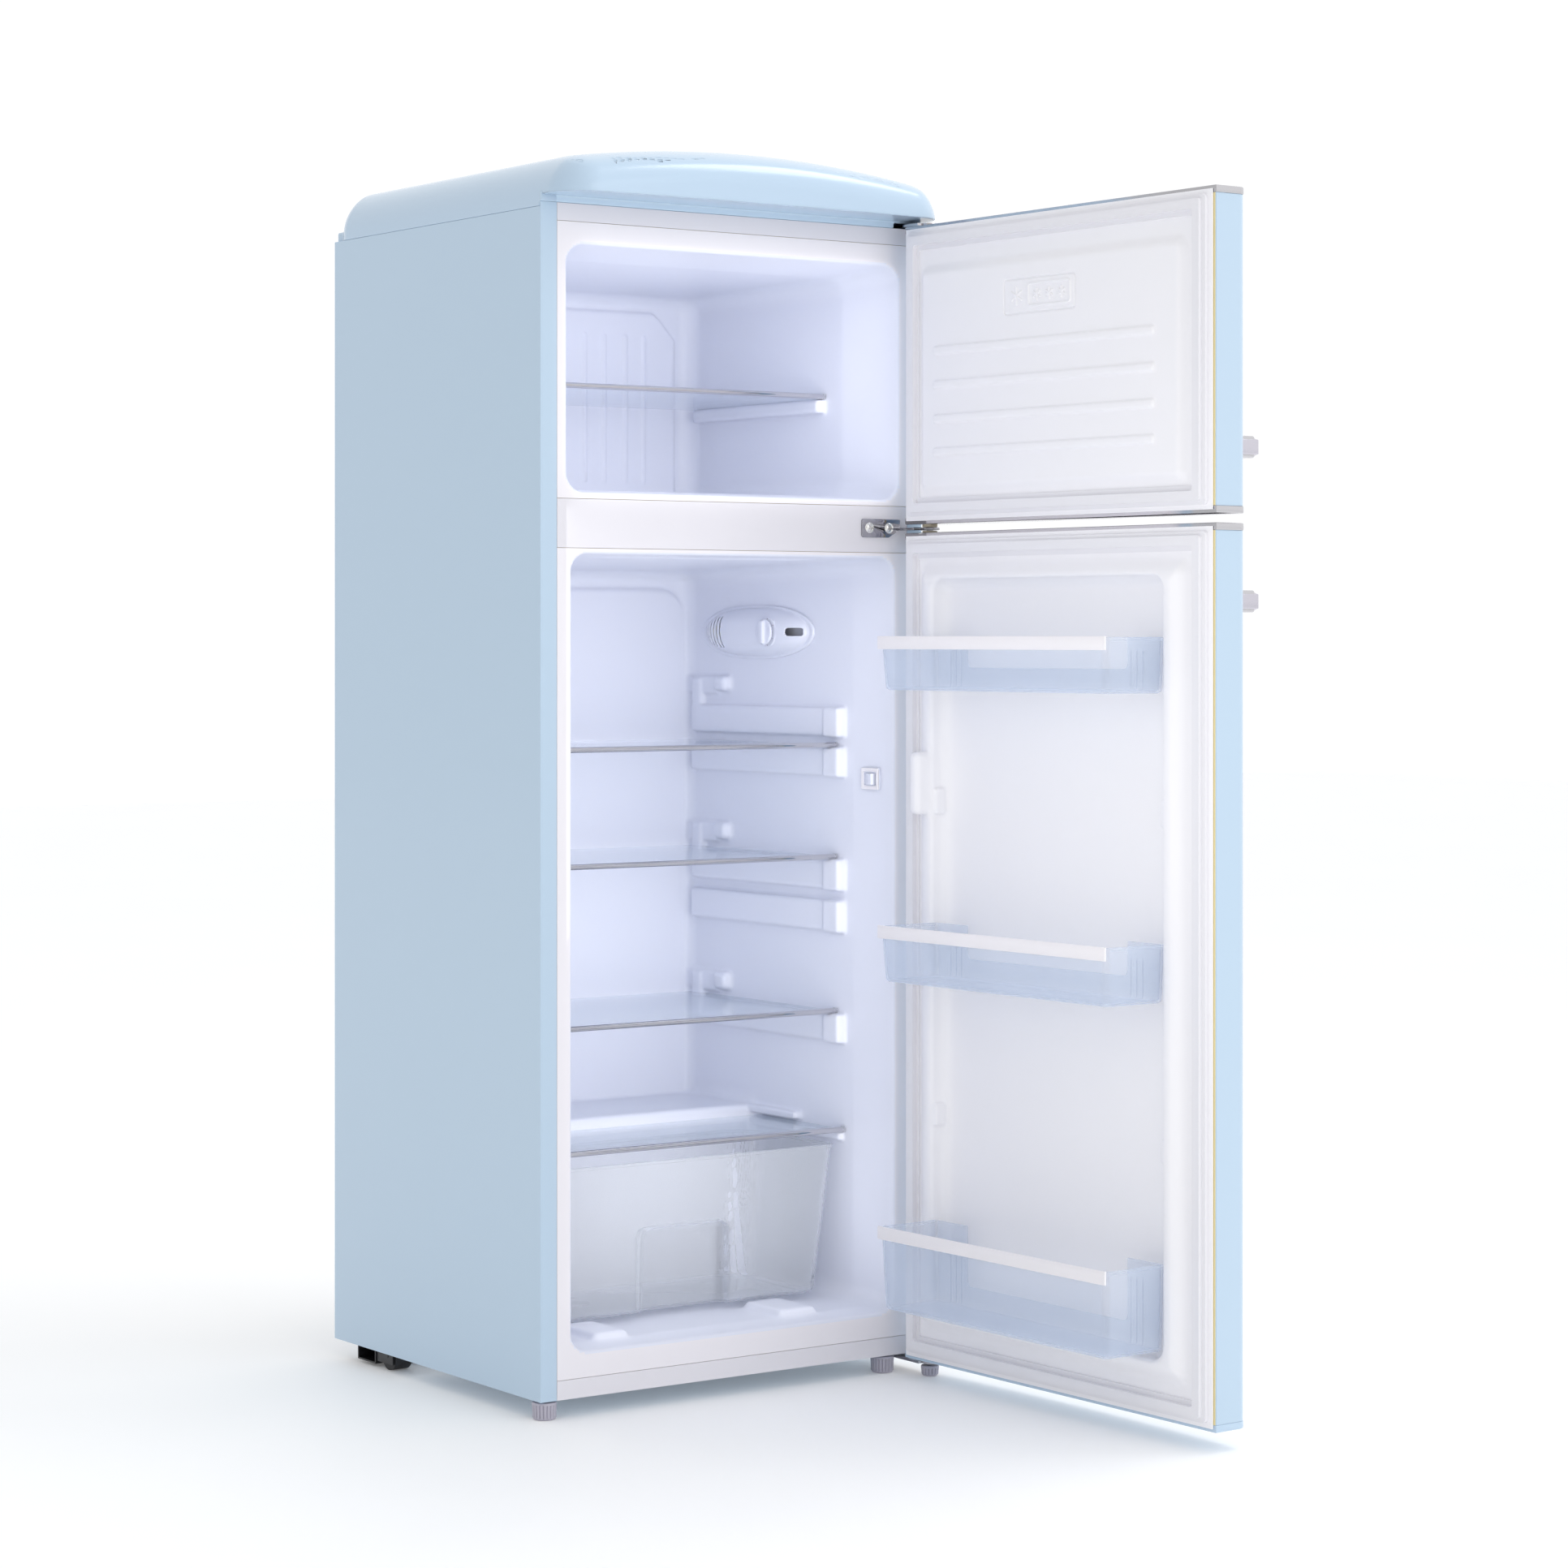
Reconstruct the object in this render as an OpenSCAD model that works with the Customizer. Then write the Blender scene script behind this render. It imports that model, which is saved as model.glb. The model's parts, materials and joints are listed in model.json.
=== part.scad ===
// Retro style top freezer refrigerator, shown with both doors swung open.
// Working frame: X across the width, 0 at the centre of the cabinet; Y from
// the front face (0) to the back; Z up from the floor. place() then moves the
// whole object so that its origin is the centre of its base area.

/* [Cabinet] */
// Width of the steel cabinet over its side panels
cab_w = 548; // [546:1:550]
// Depth of the cabinet from front flange to rear panel
cab_d = 492; // [488:1:500]
// Height of the top of the domed lid
cab_h = 1474; // [1470:1:1480]
// Height of the underside of the cabinet above the floor
cab_z0 = 22.3; // [20:0.1:24]
// Width of the painted front strips
strip_w = 21.8; // [20:0.1:24]

/* [Doors] */
// Angle of both doors from closed, as the object stands
door_open = 91.5; // [0:0.5:120]
// Thickness of a door from inner plane to its outer corner
door_t = 50; // [48:0.5:54]
// Extra bulge of the door at its middle
door_crown = 9; // [6:0.5:10]
// Radius of the outer upright edges of a door
door_r = 12; // [8:1:16]
// Radius of the hinge pins
pin_r = 4; // [3.5:0.1:4.5]

/* [Compartments] */
// Half width of the fridge compartment behind the throat
fri_x = 225; // [222:0.5:226]
// Half width of the freezer compartment behind the throat
frz_x = 226; // [222:0.5:227]
// Depth of the fridge compartment
fri_d = 445; // [440:1:448]
// Depth of the freezer compartment
frz_d = 437; // [430:1:440]

/* [Shelves] */
// Thickness of the glass shelves
glass_t = 4; // [3:0.5:5]
// Height of the top face of the ribs that carry shelf one
s1_z = 762; // [760:1:764]
// Height of the top face of the ribs that carry shelf two
s2_z = 623; // [621:1:625]
// Height of the top face of the ribs that carry shelf three
s3_z = 431; // [429:1:433]

/* [Feet] */
// Radius of the two front feet
foot_r = 14.5; // [13:0.5:15]
// Radius of the foot under the bottom hinge
hfoot_r = 11; // [9:0.5:12]
// Radius of the rear rollers
roller_r = 18; // [16:0.5:19]

/* [Hidden] */
$fn = 48;

blue = [0.66, 0.80, 0.90];
white = [0.93, 0.93, 0.95];
clearc = [0.75, 0.85, 0.95, 0.5];
bluec = [0.62, 0.75, 0.90, 0.6];
chrome = [0.80, 0.80, 0.82];
grey = [0.50, 0.50, 0.54];
black = [0.10, 0.10, 0.11];

// centre of the base area of the whole object with its doors open
org_x = 31;
org_y = -37;
hw = cab_w/2;
sx = hw - strip_w;          // half width of the white front frame
side_top = 1394.3;          // top of the side panels
rail_top = 1399.7;          // top of the white front frame
hx = 259; hy = -37;         // hinge axis
zfr0 = 1036.9; zfr1 = 1399; // freezer door, bottom and top
zfi0 = 22.7; zfi1 = 1026.5; // fridge door, bottom and top
trim_h = 8.5;
seam = 0.5;
mr_y = 325;                 // front wall of the machine room
mr_z = 262;                 // roof of the machine room
run = 0.08;                 // running clearance of a turning fit

module place() translate([-org_x, -org_y, 0]) children();
module door_pose() place() translate([hx, hy, 0]) rotate([0, 0, door_open])
  translate([-hx, -hy, 0]) children();

// rounded rectangle
module rr(x0, x1, y0, y1, r) {
  translate([x0 + r, y0]) square([x1 - x0 - 2*r, y1 - y0]);
  translate([x0, y0 + r]) square([x1 - x0, y1 - y0 - 2*r]);
  for (x = [x0 + r, x1 - r], y = [y0 + r, y1 - r]) translate([x, y]) circle(r);
}
// a drawing in X and Z, carried from y0 to y1
module xz(y0, y1) translate([0, y1, 0]) rotate([90, 0, 0]) linear_extrude(y1 - y0) children();
// a drawing in Y and Z, carried from x0 to x1
module yz(x0, x1) translate([x0, 0, 0]) rotate([90, 0, 90]) linear_extrude(x1 - x0) children();
module box(a, b) translate(a) cube([b[0] - a[0], b[1] - a[1], b[2] - a[2]]);
module cyl_z(x, y, z0, z1, r) translate([x, y, z0]) cylinder(h = z1 - z0, r = r);
module cyl_y(x, z, y0, y1, r) translate([x, y1, z]) rotate([90, 0, 0]) cylinder(h = y1 - y0, r = r);
module cyl_x(y, z, x0, x1, r) translate([x0, y, z]) rotate([0, 90, 0]) cylinder(h = x1 - x0, r = r);
module both() { children(); mirror([1, 0, 0]) children(); }

// ---------------------------------------------------------------- cabinet
module cabinet_shell() color(blue) place() difference() {
  union() {
    both() box([hw - 1, 0, cab_z0], [hw, cab_d, side_top]);
    both() box([sx, 0, cab_z0], [hw, 1, rail_top]);
    box([-hw + 0.5, 2.2, side_top - 1], [hw - 0.5, cab_d, side_top]);
    box([-hw + 0.5, 2.5, cab_z0], [hw - 0.5, mr_y + 1, cab_z0 + 1]);
    box([-hw + 0.5, mr_y, cab_z0], [hw - 0.5, mr_y + 1, mr_z]);
    box([-hw + 0.5, mr_y, mr_z - 1], [hw - 0.5, cab_d, mr_z]);
  }
  for (p = screw_v) cyl_z(p[0], p[1], cab_z0 - 1, side_top + 1, 2.5);
  for (p = feet) cyl_z(p[0], p[1], cab_z0 - 1, cab_z0 + 2, 4 + run);
  cyl_z(70, 468, mr_z - 2, mr_z + 1, 8.2);
  cyl_z(170, 487, mr_z - 2, mr_z + 1, 3);
}
screw_v = [[250, 32], [262, 50]];
feet = [[-260, 14.6], [225, 15]];

module back_panel() color([0.82, 0.84, 0.86]) place() difference() {
  box([-hw + 1, cab_d - 1, mr_z], [hw - 1, cab_d, side_top - 1]);
  // shallow embossed frame
  difference() {
    xz(cab_d - 0.4, cab_d + 1) rr(-hw + 40, hw - 40, mr_z + 40, side_top - 40, 20);
    xz(cab_d - 0.5, cab_d + 2) rr(-hw + 52, hw - 52, mr_z + 52, side_top - 52, 12);
  }
}

// freezer compartment, grown outwards by g
module frz_cav(g) intersection() {
  xz(-1, frz_d + g) rr(-238.5 - g, 238.5 + g, 1067.3 - g, 1353.9 + g, 24 + g);
  translate([0, 0, 1000]) linear_extrude(400) union() {
    polygon([[-238.5 - g, -2], [238.5 + g, -2], [238.5 + g, 2], [frz_x + g, 100],
      [frz_x + g, frz_d - 20], [-frz_x - g, frz_d - 20], [-frz_x - g, 100], [-238.5 - g, 2]]);
    translate([-frz_x + 20, 150]) square([2*frz_x - 40, frz_d - 150 + g]);
    for (s = [-1, 1]) translate([s*(frz_x - 20), frz_d - 20]) circle(20 + g);
  }
  yz(-260, 260) polygon([[-2, 1067.3 - g], [2, 1067.3 - g], [100, 1074.5 - g], [frz_d + g, 1076 - g],
    [frz_d + g, 1343 + g], [100, 1345 + g], [2, 1353.9 + g], [-2, 1353.9 + g]]);
}
module freezer_liner() color(white) place() {
  difference() {
    union() {
      xz(0, 2) difference() {
        translate([-sx + seam, 1059.6 + seam]) square([2*sx - 2*seam, 319.9 - 2*seam]);
        translate([-200, 1100]) square([400, 200]);
      }
      intersection() { frz_cav(2); box([-300, 0, 900], [300, 500, 1400]); }
    }
    frz_cav(0);
  }
  // shelf ledges on both side walls
  both() box([214, 138, 1181], [frz_x + 0.5, frz_d - 22, 1197]);
  // upright ribs on the rear wall
  for (x = [-138, -108, -75, -48, 48, 75, 108, 138])
    box([x - 1.5, frz_d - 2, 1095], [x + 1.5, frz_d + 0.5, 1180]);
}

// fridge compartment, grown outwards by g
module fri_cav(g) intersection() {
  xz(-1, fri_d + g) rr(-232 - g, 232 + g, 74.7 - g, 996.3 + g, 22 + g);
  translate([0, 0, 20]) linear_extrude(1000) union() {
    polygon([[-232 - g, -2], [232 + g, -2], [232 + g, 2], [230 + g, 14], [fri_x + g, 75],
      [fri_x + g, fri_d - 20], [-fri_x - g, fri_d - 20], [-fri_x - g, 75], [-230 - g, 14], [-232 - g, 2]]);
    translate([-fri_x + 20, 150]) square([2*fri_x - 40, fri_d - 150 + g]);
    for (s = [-1, 1]) translate([s*(fri_x - 20), fri_d - 20]) circle(20 + g);
  }
  yz(-260, 260) polygon([[-2, 74.7 - g], [2, 74.7 - g], [30, 80 - g], [288 + g, 80 - g],
    [288 + g, 299 - g], [fri_d + g, 303 - g], [fri_d + g, 986 + g], [2, 996.3 + g], [-2, 996.3 + g]]);
}
module rib(z0, z1) {
  box([215, 92, z0], [fri_x + 0.5, fri_d - 22, z1]);
  box([212, 90, z0], [fri_x + 0.5, 123, z1]);
}
module fridge_liner() color(white) place() {
  difference() {
    union() {
      xz(0, 2) difference() {
        translate([-sx + seam, 44.5 + seam]) square([2*sx - 2*seam, 958.6 - 2*seam]);
        translate([-200, 120]) square([400, 800]);
      }
      intersection() { fri_cav(2); box([-300, 0, 20], [300, 500, 1020]); }
    }
    fri_cav(0);
    box([220, 23.5, 714.5], [240, 54.5, 736.5]);
    cyl_y(70, 322, 440, 460, 8.2);
    // slots across the ceiling
    for (y = [60, 75, 90]) box([-150, y, 975], [150, y + 4, 996.5 - 0.01*y]);
  }
  both() {
    rib(777, 812);
    rib(727, s1_z);
    rib(586, s2_z);
    rib(534, 572);
    rib(397, s3_z);
    for (z = [[830, 850], [638, 660], [443, 466]]) box([213, 343, z[0]], [fri_x + 0.5, 369, z[1]]);
    box([217, 95, 275], [fri_x + 0.5, 286, 285]);
    box([214, 188, 291.5], [fri_x + 0.5, 286, 301]);
  }
  // raised pads on the floor
  for (x = [[-184, -137], [81, 134]])
    xz(26, 105) translate([x[0], 79.5]) square([x[1] - x[0], 8]);
}

module insulation_foam() color([0.94, 0.88, 0.66]) place() difference() {
  box([-hw + 1, 2.5, cab_z0 + 1], [hw - 1, cab_d - 1, side_top - 1]);
  box([-hw, mr_y, 0], [hw, cab_d, mr_z]);
  frz_cav(2);
  fri_cav(2);
  box([225, 23.5, 714.5], [245, 54.5, 736.5]);
  box([-205, cab_d - 9, mr_z - 1], [205, cab_d, 1310]);
  box([-192, frz_d + 2, 1098], [192, frz_d + 10, 1322]);
  box([-182, fri_d + 2, 478], [182, fri_d + 10, 902]);
  cyl_z(70, 468, mr_z - 1, 333, 8.2);
  cyl_y(70, 322, 440, 468, 8.2);
  for (p = screw_v) cyl_z(p[0], p[1], 0, 1500, 3);
  for (p = feet) cyl_z(p[0], p[1], 0, 40, 6);
  for (x = [193, 222.5]) cyl_y(x, 1033, -1, 24, 3);
}

module front_cross_rails() color(white) place() difference() {
  for (z = [[cab_z0, 44.5], [1003.1, 1059.6], [1379.5, rail_top]])
    box([-sx + seam, 0, z[0] + 0.01], [sx - seam, 2, z[1]]);
  for (x = [193, 222.5]) cyl_y(x, 1033, -1, 24, 2.5);
}

// ---------------------------------------------------------------- lid
cap_zb = 1394.5;
cap_R = 1560;
function cap_top(x) = cab_h - (cap_R - sqrt(cap_R*cap_R - x*x));
sh_r = 30;
sh_a = 80.8;
function sh_cz() = cap_top(248.8) - sh_r*sin(sh_a);
// crowned section from the right shoulder over the top to the left one
function cap_half() = concat(
  [for (a = [0 : 10.1 : sh_a]) [hw - sh_r + sh_r*cos(a), sh_cz() + sh_r*sin(a)]],
  [for (i = [0 : 7]) let (x = 226*(1 - i/8)) [x, cap_top(x)]]);
function cap_sec() = let (h = cap_half(), n = len(h)) concat(
  h, [[0, cab_h]], [for (i = [n - 1 : -1 : 0]) [-h[i][0], h[i][1]]]);
// stations along Y: [y, scale of the width, height at the middle, share of the bow]
function cap_sta(g) = concat(
  [for (t = [90 : -12 : 6]) [-12 - (46 - g)*sin(t), 1 - 0.16*pow(sin(t), 9), cab_h - g - 44*(1 - cos(t)), pow(sin(t), 2)]],
  [[-8, 1, cab_h - g, 0], [220, 1, cab_h - g, 0], [450, 1, cab_h - g, 0]],
  [for (t = [15 : 15 : 75]) [450 + (44 - g)*sin(t), 1 - 0.03*pow(sin(t), 4), cab_h - g - 40*(1 - cos(t)), 0]],
  [[494 - g, 0.965, cab_h - g - 34, 0]]);
function bow(x) = -8*(1 - pow(x/hw, 2));
module cap_body(g) {
  sec = cap_sec(); n = len(sec); st = cap_sta(g); m = len(st);
  low = cap_zb - (g > 0 ? 5 : 0);
  pts = [for (s = st, k = [0, 1], p = sec) [p[0]*s[1]*(hw - g)/hw, s[0] + s[3]*bow(p[0]),
    k == 0 ? cap_zb + (p[1] - cap_zb)*(s[2] - cap_zb)/(cab_h - cap_zb) : low]];
  // index of the point at station j, place i, upper (k = 0) or lower (k = 1)
  function id(j, i, k) = (2*j + k)*n + i;
  function tri(a, b, c, d) = [[a, b, c], [a, c, d]];
  polyhedron(points = pts, faces = [
    for (q = concat(
      [for (j = [0 : m - 2], i = [0 : n - 2]) tri(id(j, i, 0), id(j, i + 1, 0), id(j + 1, i + 1, 0), id(j + 1, i, 0))],
      [for (j = [0 : m - 2], i = [0 : n - 2]) tri(id(j, i, 1), id(j + 1, i, 1), id(j + 1, i + 1, 1), id(j, i + 1, 1))],
      [for (i = [0 : n - 2]) tri(id(0, i, 0), id(0, i, 1), id(0, i + 1, 1), id(0, i + 1, 0))],
      [for (i = [0 : n - 2]) tri(id(m - 1, i, 0), id(m - 1, i + 1, 0), id(m - 1, i + 1, 1), id(m - 1, i, 1))],
      [for (j = [0 : m - 2]) tri(id(j, 0, 0), id(j + 1, 0, 0), id(j + 1, 0, 1), id(j, 0, 1))],
      [for (j = [0 : m - 2]) tri(id(j + 1, n - 1, 0), id(j, n - 1, 0), id(j, n - 1, 1), id(j + 1, n - 1, 1))]),
      f = q) f], convexity = 6);
}
module top_cap() color(blue) place() difference() {
  union() {
    cap_body(0);
    // rear lip
    box([-hw + 6, 484, cap_zb], [hw - 6, 497, 1407]);
  }
  box([-300, -120, 1300], [300, 0, 1408]);
  box([-300, -1, 1300], [300, 2.3, rail_top + 0.1]);
  difference() {
    cap_body(3);
    box([-300, -120, 1300], [300, 5, 1411]);
  }
  // passage for the top hinge
  box([232, -5, 1390], [272.5, 8, 1406.5]);
}

// ---------------------------------------------------------------- hinges
module top_hinge() color(chrome) place() difference() {
  union() {
    box([224, 12, side_top], [271, 60, side_top + 3]);
    box([240, 12, side_top], [271, 15, 1403.8]);
    box([240, hy, 1401], [271, 15, 1403.8]);
    cyl_z(hx, hy, 1401, 1403.8, 12);
    cyl_z(hx, hy, 1384, 1403, pin_r);
  }
  for (p = screw_v) cyl_z(p[0], p[1], 1380, 1400, 2.5);
}
module middle_hinge() color(chrome) place() difference() {
  union() {
    xz(-2.2, 0) rr(182, 240, 1021.3, 1044, 3);
    box([236, -37, 1030.2], [271, 0, 1033.2]);
    box([232, -8, 1030.2], [245, 0, 1033.2]);
    cyl_z(hx, hy, 1030.2, 1033.2, 12);
    cyl_z(hx, hy, 1012, 1051, pin_r);
  }
  for (x = [193, 222.5]) cyl_y(x, 1033, -4, 1, 2.5);
}
module bottom_hinge() color([0.45, 0.45, 0.47]) place() difference() {
  union() {
    box([241.5, 20, 19.2], [271, 60, cab_z0]);
    box([241.5, -37, 16.2], [271, 24, 19.2]);
    box([241.5, 22, 16.2], [271, 60, 19.4]);
    cyl_z(hx, hy, 16.2, 19.2, 12);
    cyl_z(hx, hy, 18, 41, pin_r);
    cyl_z(hx, hy, 14.6, 17, 7);
  }
  for (p = screw_v) cyl_z(p[0], p[1], 10, 30, 2.5);
  cyl_z(hx, hy, 10, 24, 2.5 + run);
}
module screw_head() difference() {
  union() {
    cylinder(h = 2.6, r1 = 6, r2 = 4.6);
    translate([0, 0, -16]) cylinder(h = 16.5, r = 2.3);
  }
  for (a = [0, 90]) rotate(a) translate([-3, -0.6, 1.2]) cube([6, 1.2, 3]);
}
module hinge_screws() color(chrome) place() {
  for (x = [193, 222.5]) translate([x, -2.3, 1033]) rotate([90, 0, 0]) rotate(30) screw_head();
  for (p = screw_v) translate([p[0], p[1], side_top + 3.1]) screw_head();
  for (p = screw_v) translate([p[0], p[1], 16.1]) rotate([180, 0, 0]) screw_head();
}

// ---------------------------------------------------------------- base
module foot(r, h, stem_r, stem_z, z1) {
  rotate_extrude() polygon([[0, 0], [r - 3, 0], [r - 1, 1.2], [r - 0.5, 3], [r, h - 1.5], [r - 1, h], [0, h]]);
  cylinder(h = stem_z, r = stem_r);
  cylinder(h = z1, r = stem_r);
}
module front_foot_left() color(grey) place() translate([feet[0][0], feet[0][1], 0]) foot(foot_r, 20.5, 4, 20, 34);
module front_foot_right() color(grey) place() translate([feet[1][0], feet[1][1], 0]) foot(foot_r, 20.5, 4, 20, 34);
module hinge_foot() color(grey) place() translate([hx, hy, 0]) foot(hfoot_r, 13, 2.5, 12, 21.6);

module rear_base_rail() color(black) place() {
  difference() {
    box([-hw + 6, 398, 4], [hw - 6, 443, 22]);
    box([-hw, 400, 6], [hw, 441, 20]);
  }
  // compressor tray and rear lip
  box([-hw + 2, 420, 21.5], [hw - 2, 468, 24]);
  box([-30, 345, 21.5], [170, 480, 24]);
  both() {
    box([238, 358, 8], [240, 400, 22]);
    box([264.5, 358, 8], [266.5, 400, 22]);
    cyl_x(372, roller_r, 237, 267, 3);
    box([238, 370, 8], [240, 374, 24]);
  }
}
module rear_rollers() color(black) place() both() difference() {
  cyl_x(372, roller_r, 241, 263.5, roller_r);
  cyl_x(372, roller_r, 240, 265, 3 + run);
}

// ---------------------------------------------------------------- refrigeration
module compressor() color([0.08, 0.08, 0.09]) place() {
  translate([70, 409, 0]) rotate_extrude() polygon(concat([[0, 36]],
    [for (a = [-90 : 15 : 0]) [46 + 20*cos(a), 56 + 20*sin(a)]],
    [[68, 100], [68, 108], [66, 110]],
    [for (a = [0 : 15 : 90]) [40 + 26*cos(a), 152 + 26*sin(a)]], [[0, 180]]));
  difference() {
    box([-25, 350, 34], [165, 470, 37]);
    translate([70, 409, 30]) cylinder(h = 10, r = 45);
  }
  for (x = [-15, 155], y = [360, 458]) cyl_z(x, y, 24, 35, 9);
  // suction and service stubs
  cyl_x(409, 120, 130, 150, 3.2);
}
module terminal_box() color([0.15, 0.15, 0.16]) place() difference() {
  box([-42, 384, 80], [1.5, 434, 140]);
  box([-39.5, 386.5, 82.5], [-1, 431.5, 137.5]);
  cyl_y(-20, 95, 380, 388, 4);
}
module bend(x, z, s) translate([x, 487, z]) rotate([90, 0, 0]) rotate(s > 0 ? -90 : 90)
  rotate_extrude(angle = 180) translate([40, 0]) circle(2.65);
module condenser_coil() color([0.15, 0.15, 0.16]) place() {
  for (i = [0 : 10]) cyl_x(487, 440 + 80*i, -150.3, i == 0 ? 170 : 150.3, 2.5);
  for (i = [0 : 9]) bend(i % 2 == 0 ? -150 : 150, 480 + 80*i, i % 2 == 0 ? -1 : 1);
  translate([170, 487, 440]) sphere(2.65);
  cyl_z(170, 487, 120, 440, 2.5);
  translate([170, 487, 120]) sphere(2.65);
  cyl_y(170, 120, 409, 487, 2.5);
  translate([170, 409, 120]) sphere(2.65);
  cyl_x(409, 120, 150.05, 170, 2.5);
}
module evaporator_plates() color([0.72, 0.73, 0.75]) place() {
  box([-190, frz_d + 2.2, 1100], [190, frz_d + 3.7, 1320]);
  for (i = [0 : 5]) cyl_x(frz_d + 6, 1120 + 36*i, -180, 180, 2.6);
  box([-180, fri_d + 2.2, 480], [180, fri_d + 3.7, 900]);
  for (i = [0 : 8]) cyl_x(fri_d + 6, 500 + 47*i, -170, 170, 2.6);
}
module filter_drier() color([0.75, 0.45, 0.30]) place() translate([-120, 440, 0])
  rotate_extrude() polygon([[0, 70], [2.5, 70], [2.5, 84], [9, 92], [9, 158], [2.5, 166], [2.5, 182], [0, 182]]);
module drain_pan() color([0.20, 0.20, 0.21]) place() difference() {
  box([2, 345, 181], [138, 478, 206]);
  box([4, 347, 183], [136, 476, 207]);
}
module drain_tube() color([0.85, 0.85, 0.85]) place() difference() {
  union() { cyl_z(70, 468, 212, 330, 8); cyl_y(70, 322, 446, 468, 8); }
  cyl_z(70, 468, 200, 327, 6);
  cyl_y(70, 322, 440, 468, 6);
}
module power_inlet() color(black) place() difference() {
  union() {
    box([-166, 478, 232], [-134, 491, mr_z - 1]);
    cyl_y(-150, 246, 488, 497, 10);
  }
  cyl_y(-150, 246, 470, 500, 4.2);
}

// ---------------------------------------------------------------- inside fittings
th_y0 = 154; th_y1 = 402; th_z = 906.5; th_x = fri_x - 0.02; kn_y = 231;
module th_form(g) {
  yz(th_x - 16 + g, th_x - (g > 0 ? -1 : 0)) rr(th_y0 + g, th_y1 - g, th_z - 34 + g, th_z + 34 - g, 33 - g);
  yz(th_x - 24 + g, th_x - 10) rr(th_y0 + 14 + g, th_y1 - 14 - g, th_z - 27 + g, th_z + 27 - g, 26 - g);
}
module thermostat_housing() color([0.90, 0.92, 0.96]) place() difference() {
  th_form(0);
  th_form(2);
  cyl_x(kn_y, th_z, th_x - 30, th_x - 10, 5 + run);
  yz(th_x - 30, th_x - 18) rr(174, 198, th_z - 5, th_z + 5, 4.9);
  // light louvres at the rear end
  for (i = [0 : 6]) box([th_x - 30, 318 + 9*i, th_z - 18], [th_x - 18, 321 + 9*i, th_z + 18]);
}
module lamp() color([0.98, 0.95, 0.85]) place() {
  translate([th_x - 11, 335, th_z]) rotate([-90, 0, 0]) rotate_extrude()
    polygon(concat([[0, 0], [5, 0], [5, 12]], [for (a = [-50 : 20 : 70]) [8.5*cos(a), 22 + 8.5*sin(a)]], [[0, 30.5]]));
}
module thermostat_knob() color(white) place() {
  difference() {
    cyl_x(kn_y, th_z, th_x - 32, th_x - 24.4, 16.5);
    for (s = [-1, 1]) box([th_x - 39, s > 0 ? kn_y + 4 : kn_y - 20, th_z - 20], [th_x - 27, s > 0 ? kn_y + 20 : kn_y - 4, th_z + 20]);
  }
  cyl_x(kn_y, th_z, th_x - 28, th_x - 24.4, 16.5);
  cyl_x(kn_y, th_z, th_x - 26, th_x - 6, 5);
}
sw_y = 48; sw_x = 228;
module door_switch_plate() color(white) place() difference() {
  union() {
    yz(224.4, 226.4) rr(21.4, 56.7, 712.4, 739, 1.5);
    box([226.4, 24, 715], [243, 54, 736]);
  }
  box([220, 27, 718], [241, 52, 733]);
  cyl_z(sw_x, sw_y, 716, 735, 1.5 + run);
}
module door_switch_rocker() color(white) place() {
  linear_extrude_z(718.5, 732.5) polygon([[sw_x + 3, sw_y + 2.5], [sw_x - 2.6, sw_y + 2.5],
    [219.5, 38], [219, 31], [222, 29.5], [sw_x, 31], [sw_x + 3, 42]]);
  cyl_z(sw_x, sw_y, 716.3, 734.7, 1.5);
}
module linear_extrude_z(z0, z1) translate([0, 0, z0]) linear_extrude(z1 - z0) children();

module shelf_glass(x, y0, y1, z) color(clearc) place()
  linear_extrude_z(z + 0.3, z + 0.3 + glass_t) rr(-x, x, y0, y1, 4);
module shelf_trim(x, y0, z, h) color(chrome) place()
  yz(-x, x) rr(y0, y0 + 7.9, z + 0.3, z + 0.3 + h, 2.4);
module freezer_shelf_glass() shelf_glass(224.6, 140, 425, 1197);
module freezer_shelf_trim() shelf_trim(224.6, 132, 1197, 7);
module shelf_1_glass() shelf_glass(223.4, 113, 425, s1_z);
module shelf_1_trim() shelf_trim(223.4, 105, s1_z, 7);
module shelf_2_glass() shelf_glass(223.4, 113, 425, s2_z);
module shelf_2_trim() shelf_trim(223.4, 105, s2_z, 7);
module shelf_3_glass() shelf_glass(223.4, 113, 425, s3_z);
module shelf_3_trim() shelf_trim(223.4, 105, s3_z, 7);
module crisper_cover_glass() shelf_glass(223.4, 97, 272, 285.2);
module crisper_cover_trim() shelf_trim(223.4, 89, 284.9, 7);

// crisper drawer, inset by g
module cr_form(g) intersection() {
  xz(80, 290) polygon([[-190 + g, 88.4 + g], [190 - g, 88.4 + g], [212 - g, g > 0 ? 280 : 272], [-212 + g, g > 0 ? 280 : 272]]);
  yz(-220, 220) polygon([[101 + g, 88.4 + g], [276 - g, 88.4 + g], [280 - g, g > 0 ? 280 : 272], [93 + g, g > 0 ? 280 : 272]]);
}
module crisper_drawer() color(clearc) place() {
  difference() {
    cr_form(0);
    xz(80, 121) rr(-62, 62, 60, 192, 14);
    difference() {
      cr_form(2.2);
      xz(80, 123.2) rr(-64.2, 64.2, 60, 194.2, 16);
    }
  }
}

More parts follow.
